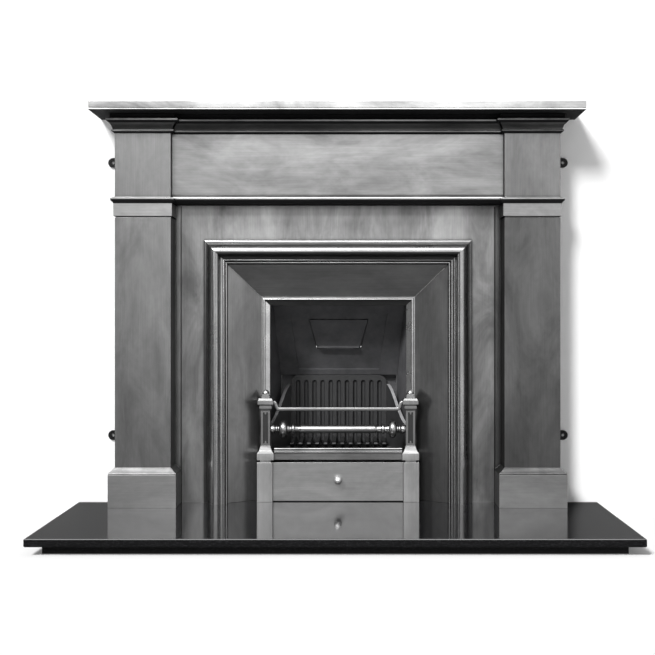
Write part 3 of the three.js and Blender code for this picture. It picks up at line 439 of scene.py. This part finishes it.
# The frieze's cove and undersides carry painted shade, and its bead painted highlight.
finish_where(frieze, lambda centre, normal: COVE_FOOT < centre.z < COVE_TOP, cove_shade_iron)
finish_where(frieze, lambda centre, normal: centre.z < BLOCK_FOOT and normal.z > FALLING,
             astragal_highlight_iron)
finish_where(frieze, lambda centre, normal: normal.z < UNDERSIDE or centre.z > FASCIA_FOOT
             or (centre.z < BLOCK_FOOT and normal.z < FALLING), underside_shade_iron)
cast_back(frieze)
shelf = dressed("mantel_shelf", "root",
                burnished_iron("burnished_iron_shelf", "#9c9c9c", "x", cloud=2.4))
# The shelf's underside carries painted shade.
finish_where(shelf, lambda centre, normal: normal.z < UNDERSIDE, underside_shade_iron)
cast_back(shelf)


# ------------------------------------------------------------------ insert front
# One casting carries the flat plate and the bolection moulding. The splayed cheeks, the hood
# and the trim round the fire are separate castings bolted behind it, polished as it is.

# The plate is cloudy from the buff, and the mouldings are brighter and sharper.
plate_iron = burnished_iron("burnished_iron_insert", "#909090", "z", cloud=1.9)
moulding_iron = burnished_iron("burnished_iron_moulding", "#a8a8a8", "z", rough=0.24,
                               hollow=0.006)
top_moulding_iron = burnished_iron("burnished_iron_top_moulding", "#a0a0a0", "x", rough=0.27,
                                   hollow=0.005)


def curve(start, handle_a, handle_b, end, steps):
    """Points along a cubic curve, without its first."""
    points = []
    for i in range(1, steps + 1):
        t = i / steps
        weights = ((1 - t) ** 3, 3 * t * (1 - t) ** 2, 3 * t * t * (1 - t), t ** 3)
        points.append(tuple(sum(w * p[k] for w, p in zip(
            weights, (start, handle_a, handle_b, end))) for k in (0, 1)))
    return points


def bead(centre, radius, start, stop, steps=8):
    """Points round an arc, in degrees, for a moulding's section."""
    return [(centre[0] + radius * math.cos(math.radians(start + (stop - start) * i / steps)),
             centre[1] + radius * math.sin(math.radians(start + (stop - start) * i / steps)))
            for i in range(steps + 1)]


# The section, as distance in from the outer edge and distance from the wall, in mm.
BOLECTION = [
    (0, -9), (0, -15), *bead((2.2, -15.4), 2.2, 180, 300, 6), (4.6, -17.8), (8, -18.2),
    (8.1, -21), (9.6, -22.6), (11.4, -22.6), (11.6, -30),
    *curve((11.6, -30), (12.4, -37), (14, -42), (17, -45.6), 8),
    *curve((17, -45.6), (21, -50.4), (27.4, -57.8), (35, -57.8), 14),
    *curve((35, -57.8), (41.4, -57.8), (45.6, -51), (48, -45.6), 12),
    *curve((48, -45.6), (50, -41.2), (52.8, -38.6), (57, -37.4), 8),
    *bead((59.6, -38.2), 2.3, 180, 350), (62.2, -34.5), (63, -32),
    *bead((66, -31.4), 2.8, 190, 350), (70, -28), (70, -4), (62, -4), (62, -22), (50, -30),
    (42, -48), (31, -48), (19, -26), (10, -12), (10, -2), (3, -2)]
MOULD_HALF, MOULD_TOP = 386, 756.5
PLATE_HALF, PLATE_TOP, PLATE_FACE, PLATE_BACK = 450, 855, -10, -2

shape = bmesh.new()


def shape_point(x, y, z):
    return shape.verts.new((x * MM, y * MM + WALL_Y, z * MM + HEARTH_TOP))


stations = [[shape_point(side * (MOULD_HALF - inset), depth, height(inset))
             for inset, depth in BOLECTION]
            for side, height in ((-1, lambda inset: 0), (-1, lambda inset: MOULD_TOP - inset),
                                 (1, lambda inset: MOULD_TOP - inset), (1, lambda inset: 0))]
for near, far in zip(stations, stations[1:]):
    for i in range(len(BOLECTION)):
        j = (i + 1) % len(BOLECTION)
        strip = shape.faces.new((near[i], near[j], far[j], far[i]))
        strip.material_index = 2 if near is stations[1] else 1
for end in (stations[0], stations[-1]):
    shape.faces.new(end).material_index = 1
PLATE_LAP = 5
inner, inner_top = MOULD_HALF - PLATE_LAP, MOULD_TOP - PLATE_LAP
outline = [(-PLATE_HALF, 0), (-inner, 0), (-inner, inner_top), (inner, inner_top), (inner, 0),
           (PLATE_HALF, 0), (PLATE_HALF, PLATE_TOP), (-PLATE_HALF, PLATE_TOP)]
front, back = [[shape_point(x, y, z) for x, z in outline] for y in (PLATE_FACE, PLATE_BACK)]
for a, b, c, d in ((0, 1, 2, 7), (7, 2, 3, 6), (6, 3, 4, 5)):
    for layer in (front, back):
        shape.faces.new([layer[k] for k in (a, b, c, d)])
for i in range(len(outline)):
    j = (i + 1) % len(outline)
    shape.faces.new((front[i], front[j], back[j], back[i]))
bmesh.ops.recalc_face_normals(shape, faces=shape.faces)
mesh = bpy.data.meshes.new("insert_front_finished")
shape.to_mesh(mesh)
shape.free()
mesh.materials.append(plate_iron)
mesh.materials.append(moulding_iron)
mesh.materials.append(top_moulding_iron)
mesh.shade_smooth()
MOULDING_CREASE = 24
mesh.set_sharp_from_angle(angle=math.radians(MOULDING_CREASE))
insert = bpy.data.objects.new("insert_front_finished", mesh)
scene.collection.objects.link(insert)
# Painted shade: the falling cove, the first bead under it and the outer edges are painted
# darker, the outer edges as a painted dark reflection.
shadow_iron = burnished_iron("burnished_iron_painted_shade", "#5c5c5c", "x", rough=0.3,
                             hollow=0.006)
INNER_BEAD_TOP = HEARTH_TOP + (MOULD_TOP - 57.2) * MM
INNER_BEAD_FOOT = HEARTH_TOP + (MOULD_TOP - 62.4) * MM
MIDDLE_STRIP, OUTER_EDGE = 100 * MM, 12 * MM
COVE_FALLS, TRIM_FALLS = -0.25, -0.2
finish_where(insert, lambda centre, normal: centre.z > INNER_BEAD_TOP and
             normal.z < COVE_FALLS, shadow_iron)
finish_where(insert, lambda centre, normal: abs(centre.x) < MIDDLE_STRIP and
             INNER_BEAD_FOOT < centre.z < INNER_BEAD_TOP, shadow_iron)
finish_where(insert, lambda centre, normal: centre.y < WALL_Y - OUTER_EDGE and
             abs(centre.x) > MOULD_HALF * MM - OUTER_EDGE, shadow_iron)
cast_back(insert)
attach(insert, "root")
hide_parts("insert_front")
# Painted light: the left splay is painted lighter than the right, as lit and shaded copies of one
# polish.
for side_name, tone in (("right", "#6a6a6a"), ("left", "#808080")):
    cast_back(dressed(side_name + "_splay", "root",
                      burnished_iron("burnished_iron_%s_splay" % side_name, tone, "z")))
cast_back(dressed("hood", "root",
                  burnished_iron("burnished_iron_hood", "#8e8e8e", "x", cloud=0.6)))
trim_iron = burnished_iron("burnished_iron_trim", "#c4c4c4", "x", rough=0.27, hollow=0.004)
trim = dressed("opening_trim", "root", trim_iron)
# The trim's falling faces carry painted shade.
finish_where(trim, lambda centre, normal: normal.z < TRIM_FALLS, shadow_iron)
cast_back(trim)


# ------------------------------------------------------------------ firebox
# Rough grey iron as it left the sand, brushed with stove blacking: matt, with a fine grain. The
# cheeks' upward faces are painted paler, as painted highlight, and the bars' front ends are
# paler for wear and as painted highlight.

def blacked_iron(name, tone):
    """Iron brushed with blacking: a matt coat, rubbed paler in clouds 70 mm across.

    The sand's grain under it is 0.3 mm and is drawn at 1.4 mm, the finest that shows.
    """
    material, tree = new_material(name)
    place = add(tree, "ShaderNodeTexCoord").outputs["Object"]
    sand = add(tree, "ShaderNodeTexNoise", {"Vector": place}, Scale=700.0, Detail=5.0)
    cloud = add(tree, "ShaderNodeTexNoise", {"Vector": place}, Scale=14.0, Detail=6.0,
                Roughness=0.65)
    shade = add(tree, "ShaderNodeMapRange", {"Value": cloud.outputs["Fac"]}, From_Min=0.3,
                From_Max=0.7, To_Min=0.7, To_Max=1.4)
    colour = add(tree, "ShaderNodeVectorMath", {"Scale": shade.outputs["Result"]},
                 operation="SCALE")
    colour.inputs[0].default_value = linear(tone)[:3]
    bump = add(tree, "ShaderNodeBump", {"Height": sand.outputs["Fac"]}, Strength=0.35,
               Distance=0.0006)
    surface = add(tree, "ShaderNodeBsdfPrincipled", {
        "Base Color": colour.outputs[0], "Normal": bump.outputs["Normal"]}, Metallic=0.2,
        Roughness=0.6)
    add(tree, "ShaderNodeOutputMaterial", {"Surface": surface.outputs[0]})
    return material


fire_iron = blacked_iron("blacked_cast_iron", "#505052")
back_iron = blacked_iron("blacked_fireback_iron", "#252526")
grate_iron = blacked_iron("burnt_cast_iron_and_painted_shade", "#141415")
upward_highlight_iron = blacked_iron("cast_iron_painted_highlight", "#8a8a8b")
nose_wear_and_highlight_iron = blacked_iron("bar_ends_wear_and_painted_highlight", "#4c4c4d")
RISING = 0.3
for node in ("right_side_panel", "left_side_panel"):
    dressed(node, "root", fire_iron)


def without_needles(shape):
    """Draws in the needles of no thickness that join the hinge's ears to the middle line."""
    for tip in [v for v in shape.verts if abs(v.co.x) < 0.01 * MM and len(v.link_edges) == 3]:
        ear = min((edge.other_vert(tip) for edge in tip.link_edges),
                  key=lambda v: (v.co - tip.co).length)
        bmesh.ops.pointmerge(shape, verts=[tip, ear], merge_co=ear.co.copy())
    bmesh.ops.dissolve_degenerate(shape, dist=MERGE_DISTANCE, edges=shape.edges)


dressed("throat_plate", "root", fire_iron, mend=without_needles)
dressed("fireback", "root", back_iron)
# Painted light: the left cheek is lighter than the right, and the cheeks' upward faces are
# painted paler, as painted highlight.
for side_name, tone in (("right", "#2e2e2f"), ("left", "#444445")):
    cheek = dressed(side_name + "_cheek", "root",
                    blacked_iron("blacked_%s_cheek_iron" % side_name, tone))
    finish_where(cheek, lambda centre, normal: normal.z > RISING, upward_highlight_iron)
dressed("damper_flap", "damper", fire_iron, edge=0)
# The grate is burnt black and painted darker still, as painted shade, and its bars' front ends
# are paler, for wear and as painted highlight.
grate = dressed("bottom_grate", "grate", grate_iron)
NOSE_BACK, NOSE_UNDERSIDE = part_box("bottom_grate")[0].y + 5 * MM, -0.2
finish_where(grate, lambda centre, normal: centre.y < NOSE_BACK and
             normal.z > NOSE_UNDERSIDE, nose_wear_and_highlight_iron)


# ------------------------------------------------------------------ fire basket
# Legs, posts, bars and rail are small polished castings. Their faces are bright from the buff,
# and their hollows are painted nearly black, as painted shade.

def geometry_tree(name, **inputs):
    """A node tree that takes a geometry and some named sizes, with the outputs of its input."""
    tree = bpy.data.node_groups.new(name, "GeometryNodeTree")
    tree.interface.new_socket("Geometry", in_out="INPUT", socket_type="NodeSocketGeometry")
    for key, kind in inputs.items():
        tree.interface.new_socket(key, in_out="INPUT", socket_type="NodeSocket" + kind)
    tree.interface.new_socket("Geometry", in_out="OUTPUT", socket_type="NodeSocketGeometry")
    return tree, add(tree, "NodeGroupInput").outputs


def end_tree(tree, geometry, material):
    """Makes a tree's copies real and gives them their finish."""
    real = add(tree, "GeometryNodeRealizeInstances", {"Geometry": geometry})
    painted = add(tree, "GeometryNodeSetMaterial", {"Geometry": real.outputs[0],
                                                    "Material": material})
    add(tree, "NodeGroupOutput", {"Geometry": painted.outputs[0]})


GROWN_MERGE = 0.005 * MM


def grown(name, tree, points, edges, directions=(), crease=35.0, **inputs):
    """A plain mesh that a node tree grows from points and edges given in metres."""
    mesh = bpy.data.meshes.new(name)
    mesh.from_pydata(points, edges, [])
    if directions:
        held = mesh.attributes.new("direction", "FLOAT_VECTOR", "POINT")
        for i, direction in enumerate(directions):
            held.data[i].vector = direction
    piece = bpy.data.objects.new(name, mesh)
    scene.collection.objects.link(piece)
    growth = piece.modifiers.new(tree.name, "NODES")
    growth.node_group = tree
    for socket in tree.interface.items_tree:
        if socket.in_out == "INPUT" and socket.name in inputs:
            growth[socket.identifier] = inputs[socket.name]
    plain_mesh(piece)
    shape = bmesh.new()
    shape.from_mesh(piece.data)
    bmesh.ops.remove_doubles(shape, verts=shape.verts, dist=GROWN_MERGE)
    bmesh.ops.recalc_face_normals(shape, faces=shape.faces)
    shape.to_mesh(piece.data)
    shape.free()
    piece.data.shade_smooth()
    piece.data.set_sharp_from_angle(angle=math.radians(crease))
    return piece


def declared(piece, body, slot, *replaced):
    """Says which body a piece rides on and what it replaces. The slot, what it takes its finish
    from, is not used.
    """
    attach(piece, body)
    if replaced:
        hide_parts(*replaced)
    return piece


def finish_node(node, material):
    """Gives a CAD node, whose shape is right, its finish."""
    mesh = nodes[node].data
    mesh.materials.clear()
    mesh.materials.append(material)


# A turned piece: its section, as radius and distance along its axis, becomes a stack of
# rings, which are skinned.
turning, given = geometry_tree("turned_on_a_lathe", Segments="Int", Material="Material")
section = add(turning, "GeometryNodeMeshToCurve", {"Mesh": given["Geometry"]})
split = add(turning, "ShaderNodeSeparateXYZ", {
    "Vector": add(turning, "GeometryNodeInputPosition").outputs[0]})
sized = add(turning, "GeometryNodeSetCurveRadius", {"Curve": section.outputs[0],
                                                    "Radius": split.outputs["X"]})
axis = add(turning, "ShaderNodeCombineXYZ", {"Z": split.outputs["Z"]})
straight = add(turning, "GeometryNodeSetPosition", {"Geometry": sized.outputs[0],
                                                    "Position": axis.outputs[0]})
ring = add(turning, "GeometryNodeCurvePrimitiveCircle", {"Resolution": given["Segments"]},
           Radius=1.0)
skin = add(turning, "GeometryNodeCurveToMesh", {
    "Curve": straight.outputs[0], "Profile Curve": ring.outputs[0],
    "Scale": add(turning, "GeometryNodeInputRadius").outputs[0]})
end_tree(turning, skin.outputs[0], given["Material"])


def turned(node, body, slot, profile, place, towards, material, segments=64):
    """Stands for a node. The place is in mm from the middle of the hearth's back edge."""
    points = [(radius * MM, 0, distance * MM) for radius, distance in profile]
    piece = grown(node + "_turned", turning, points, [(i, i + 1) for i in range(
        len(points) - 1)], Segments=segments, Material=material)
    turn = Vector(towards).to_track_quat("Z", "Y").to_matrix().to_4x4()
    piece.data.transform(Matrix.Translation([c * MM for c in place]) @ Matrix.Translation(
        (0, WALL_Y, HEARTH_TOP)) @ turn)
    return declared(piece, body, slot, node)


# Each has its own tone. The sunk panels and the posts' upward slopes are painted darker, as
# painted shade, and the bar is painted dark above and below its bright front band, as painted
# shade.
post_iron = burnished_iron("burnished_iron_posts", "#8c8c8c", "z", rough=0.3, hollow=0.005)
panel_shade_iron = burnished_iron("iron_sunk_panels_painted_shade", "#484848", "z", rough=0.4, hollow=0.003)
bar_iron = burnished_iron("burnished_iron_bar", "#a8a8a8", "x", rough=0.3, hollow=0.004)
bar_shade_iron = burnished_iron("bar_top_and_underside_painted_shade", "#646464", "x", rough=0.36,
                               hollow=0.004)
rail_iron = burnished_iron("burnished_iron_top_rail", "#8c8c8c", "x", rough=0.4,
                           hollow=0.0025)
low_rail_iron = burnished_iron("burnished_iron_bottom_rail", "#868686", "x", cloud=2.2)
leg_iron = burnished_iron("burnished_iron_legs", "#b8b8b8", "z")
slope_shade_iron = burnished_iron("iron_post_slopes_painted_shade", "#707070", "x", rough=0.36, hollow=0.005)
POST_X, POST_Y = 210, 17.3
BASE_TOP = HEARTH_TOP + 140 * MM
COLUMN_FACE = WALL_Y + 4 * MM
PANEL_NEAR, PANEL_FAR = COLUMN_FACE + 1.5 * MM, COLUMN_FACE + 3 * MM
TO_THE_FRONT = -0.9
PANEL_FOOT, PANEL_HEAD = HEARTH_TOP + 166 * MM, HEARTH_TOP + 260 * MM
FINIAL = [(0, 0), (10.2, 0.03), (10.9, 0.5), (11, 1.1), (10.7, 2.2),
          *curve((10.7, 2.2), (10.6, 4.6), (8.4, 7.8), (6.2, 10), 8),
          *curve((6.2, 10), (4.6, 11.6), (2.6, 12.6), (0, 12.8), 5)]
for side, side_name in ((1, "right"), (-1, "left")):
    dressed(side_name + "_leg", "root", leg_iron)
    post = dressed(side_name + "_post", "root", post_iron, edge=0.35)
    finish_where(post, lambda centre, normal: centre.z < BASE_TOP, leg_iron)
    # Painted shade on the upward slopes and in the sunk panels.
    finish_where(post, lambda centre, normal: normal.z > RISING, slope_shade_iron)
    finish_where(post, lambda centre, normal: normal.y < TO_THE_FRONT and
                 PANEL_NEAR < centre.y < PANEL_FAR and
                 PANEL_FOOT < centre.z < PANEL_HEAD, panel_shade_iron)
    turned(side_name + "_finial", "root", "burnished", FINIAL,
           (side * POST_X, POST_Y, 310.9), (0, 0, 1), post_iron, 48)

# The turned bar, from the middle of its drum to the post.
BAR_HALF, BAR_Z = 196.4, 209
BAR_POINT = 0.05                        # keeps the rings at the flat ends square
BAR_UNDERSIDE, BAR_TOP = -0.4, 0.44     # painted shade darkens the bar above and below these


def ball(radius, half_length, middle, angles):
    """Part of a ball on the axis, or of one drawn out along it, as radius and distance."""
    return [(radius * math.sin(math.radians(a)),
             middle - half_length * math.cos(math.radians(a))) for a in angles]


def round_over(start, stop, low, high, steps=8, power=1.0):
    """A half round from one distance to another, as radius and distance."""
    return [(low + (high - low) * math.sin(math.pi * i / steps) ** power,
             start + (stop - start) * (1 - math.cos(math.pi * i / steps)) / 2)
            for i in range(steps + 1)]


bar_end = [(11.8, 0.1), (11.8, 105.5),
           *curve((11.8, 105.5), (11.8, 108), (10.2, 110), (9.4, 112), 5),
           *curve((9.4, 112), (9.2, 116), (10.6, 121), (11.8, 124.6), 6), (10.8, 125.2),
           *round_over(125.8, 134.2, 11, 14.2), (9.6, 135),
           *curve((9.6, 135), (9.2, 140), (12.2, 142), (12.6, 146.4), 6), (11.2, 147),
           *round_over(147.4, 169.4, 12, 25.6, 22, 0.8), (9.4, 169.9),
           *round_over(170.2, 174.8, 9.6, 11.8, 6), (9.2, 175.2),
           *round_over(175.6, 180.8, 9.4, 12, 6), (8.8, 181.4),
           *ball(13.2, 12.4, 189.4, range(46, 131, 7)), (9.4, BAR_HALF)]
bar_start = [(radius, -distance) for radius, distance in reversed(bar_end)]
bar = turned("turned_bar", "root", "burnished",
             [(0, -BAR_HALF - BAR_POINT), *bar_start, *bar_end, (0, BAR_HALF + BAR_POINT)],
             (0, POST_Y, BAR_Z), (1, 0, 0), bar_iron)
# Painted shade above and below the bar's bright front band.
finish_where(bar, lambda centre, normal: not BAR_UNDERSIDE < normal.z < BAR_TOP, bar_shade_iron)

# The top rail is a square bar with rounded edges, bent up at its ends.
ROUNDING_STEPS = 5
RAIL_SIDE, RAIL_ROUNDING = 10.4 * MM, 3.0 * MM
bending, given = geometry_tree("square_bar_along_a_path", Side="Float", Rounding="Float",
                               Material="Material")
line = add(bending, "GeometryNodeMeshToCurve", {"Mesh": given["Geometry"]})
square = add(bending, "GeometryNodeCurvePrimitiveQuadrilateral", {
    "Width": given["Side"], "Height": given["Side"]})
ring = add(bending, "GeometryNodeFilletCurve", {"Curve": square.outputs[0],
                                                "Radius": given["Rounding"]}, mode="POLY")
ring.inputs["Count"].default_value = ROUNDING_STEPS
ring.inputs["Limit Radius"].default_value = True
skin = add(bending, "GeometryNodeCurveToMesh", {"Curve": line.outputs[0],
                                                "Profile Curve": ring.outputs[0]})
skin.inputs["Fill Caps"].default_value = True
end_tree(bending, skin.outputs[0], given["Material"])
RAIL_Z, RAIL_END, CRANK = 267, 187.2, 286.2
rail_end = [(RAIL_END, CRANK)] + curve((RAIL_END, CRANK), (RAIL_END - 9, CRANK),
                                       (RAIL_END - 5, RAIL_Z), (RAIL_END - 17, RAIL_Z), 14)
rail_line = [(-x, z) for x, z in rail_end] + rail_end[::-1]
points = [(x * MM, POST_Y * MM + WALL_Y, z * MM + HEARTH_TOP) for x, z in rail_line]
rail = grown("top_rail_bent", bending, points, [(i, i + 1) for i in range(len(points) - 1)],
             Side=RAIL_SIDE, Rounding=RAIL_ROUNDING, Material=rail_iron)
declared(rail, "root", "steel", "top_rail")
dressed("bottom_rail", "root", low_rail_iron)
finish_node("damper_pin", bar_iron)


# ------------------------------------------------------------------ ash drawer
# The cover is a polished plate with a turned knob, screwed to the folded black pan behind it.
# It clears the hearth by a couple of millimetres, as such covers do.

COVER_DROP, FOOT_BAND = 4.2 * MM, 3 * MM
cover = dressed("ash_cover", "ash_drawer",
                burnished_iron("burnished_iron_cover", "#a8a8a8", "x"))
cover_foot = min(vertex.co.z for vertex in cover.data.vertices)
for vertex in cover.data.vertices:
    if vertex.co.z < cover_foot + FOOT_BAND:
        vertex.co.z -= COVER_DROP
# A ball on a short neck, with a collar against the cover and a spigot through it.
knob_iron = burnished_iron("burnished_iron_knob", "#c0c0c0", "x", rough=0.5, hollow=0.003)
KNOB = [(0, -22), *ball(11.5, 11.5, -10.5, range(10, 151, 10)),
        *curve((5.8, -0.6), (4.6, 0.4), (4.4, 1.4), (4.6, 2.4), 4),
        (6.8, 3.2), (6.9, 4.6), (3, 4.75), (3, 10.4), (0, 10.5)]
turned("ash_knob", "ash_drawer", "polished", KNOB, (0, -1, 63), (0, 1, 0), knob_iron, 48)
dressed("ash_pan", "ash_drawer", fire_iron, edge=0.3)


# ------------------------------------------------------------------ lugs and fasteners
# Black painted ears for the wall screws, and zinc plated bolts behind the castings. None is
# polished, because the fireplace hides all but the ears' ends.

# Passivated zinc is a pale, slightly cloudy grey, in blooms of 6 mm.
zinc, tree = new_material("zinc_plated_steel")
place = add(tree, "ShaderNodeTexCoord").outputs["Object"]
bloom = add(tree, "ShaderNodeTexNoise", {"Vector": place}, Scale=160.0, Detail=4.0)
passivate = add(tree, "ShaderNodeMix", {"Factor_Float": bloom.outputs["Fac"]}, data_type="RGBA",
                A_Color=linear("#94969a"), B_Color=linear("#bcbec0"))
surface = add(tree, "ShaderNodeBsdfPrincipled", {"Base Color": passivate.outputs[2]},
              Metallic=1.0, Roughness=0.42)
add(tree, "ShaderNodeOutputMaterial", {"Surface": surface.outputs[0]})

# Brushed paint is matt black, with an orange peel of 3 mm.
black_paint, tree = new_material("brushed_black_paint")
place = add(tree, "ShaderNodeTexCoord").outputs["Object"]
orange_peel = add(tree, "ShaderNodeTexNoise", {"Vector": place}, Scale=350.0, Detail=2.0)
ripple = add(tree, "ShaderNodeBump", {"Height": orange_peel.outputs["Fac"]}, Strength=0.2,
             Distance=0.0003)
surface = add(tree, "ShaderNodeBsdfPrincipled", {"Normal": ripple.outputs["Normal"]},
              Base_Color=linear("#0b0b0c"), Roughness=0.6, Specular_IOR_Level=0.2)
add(tree, "ShaderNodeOutputMaterial", {"Surface": surface.outputs[0]})
for level in ("lower", "upper"):
    for side_name in ("right", "left"):
        dressed("%s_%s_lug" % (side_name, level), "root", black_paint, edge=0.5)

# Hexagon bolts: each is a chamfered head, a washer, a plain shank and a chamfered tip, stood
# on a point at the outer end of its head and turned to its direction. Their sizes are given
# in thread diameters, on the usual proportions.
bolting, given = geometry_tree("hexagon_bolts", Thread="Float", Shank="Float",
                               Material="Material")


def times_thread(factor):
    scaled = add(bolting, "ShaderNodeMath", {0: given["Thread"]}, operation="MULTIPLY")
    scaled.inputs[1].default_value = factor
    return scaled.outputs[0]


def frustum(sides, bottom, top, foot, height):
    """A length of bolt that may taper. Its foot and height are in threads, or sockets."""
    cone = add(bolting, "GeometryNodeMeshCone", {
        "Radius Bottom": times_thread(bottom), "Radius Top": times_thread(top),
        "Depth": height if hasattr(height, "links") else times_thread(height)}, Vertices=sides)
    lift = add(bolting, "ShaderNodeCombineXYZ", {
        "Z": foot if hasattr(foot, "links") else times_thread(foot)})
    return add(bolting, "GeometryNodeTransform", {"Geometry": cone.outputs["Mesh"],
                                                  "Translation": lift.outputs[0]}).outputs[0]


tip = add(bolting, "ShaderNodeMath", {0: given["Shank"], 1: times_thread(0.55)})
one_bolt = add(bolting, "GeometryNodeJoinGeometry")
for part in (frustum(6, 0.84, 0.97, 0.0, 0.09), frustum(6, 0.97, 0.97, 0.09, 0.46),
             frustum(28, 0.97, 0.97, 0.56, 0.08), frustum(18, 0.5, 0.5, 0.55, given["Shank"]),
             frustum(18, 0.5, 0.4, tip.outputs[0], 0.1)):
    bolting.links.new(part, one_bolt.inputs[0])
pointing = add(bolting, "GeometryNodeInputNamedAttribute", data_type="FLOAT_VECTOR")
pointing.inputs["Name"].default_value = "direction"
turn = add(bolting, "FunctionNodeAlignRotationToVector", {
    "Vector": pointing.outputs["Attribute"]}, axis="Z")
stood = add(bolting, "GeometryNodeInstanceOnPoints", {
    "Points": given["Geometry"], "Instance": one_bolt.outputs[0],
    "Rotation": turn.outputs[0]})
end_tree(bolting, stood.outputs[0], given["Material"])


HEAD_AND_TIP = 0.66


def bolts(name, body, thread, members):
    """Bolts like one another. Each member is a node with the way its tip points."""
    points = []
    for node, direction in members:
        low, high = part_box(node)
        middle = (low + high) / 2
        reach = [abs(d) * (b - a) / 2 for d, a, b in zip(direction, low, high)]
        points.append(middle - Vector(d * r for d, r in zip(direction, reach)))
    length = sum(reach) * 2
    piece = grown(name, bolting, points, [], [direction for _, direction in members],
                  Thread=thread * MM, Shank=length - HEAD_AND_TIP * thread * MM, Material=zinc)
    declared(piece, body, "zinc", *[node for node, _ in members])


OUTWARDS = {"right": (1, 0, 0), "left": (-1, 0, 0)}
FORWARDS = (0, -1, 0)
bolts("frieze_bolts", "root", 8, [("%s_frieze_bolt_%d" % (side_name, i), way)
                                  for side_name, way in OUTWARDS.items() for i in (1, 2)])
bolts("shelf_bolts", "root", 8, [(side_name + "_shelf_bolt", (0, 0, 1))
                                 for side_name in OUTWARDS])
bolts("lug_bolts", "root", 8, [("%s_%s_lug_bolt" % (side_name, level), way)
                               for side_name, way in OUTWARDS.items()
                               for level in ("lower", "upper")])
bolts("insert_bolts", "root", 6, [(place_name + "_insert_bolt", FORWARDS) for place_name in (
    "left_lower", "left_upper", "hood", "right_lower", "right_upper")])
bolts("pan_screws", "ash_drawer", 6, [(side_name + "_pan_screw", FORWARDS)
                                      for side_name in OUTWARDS])
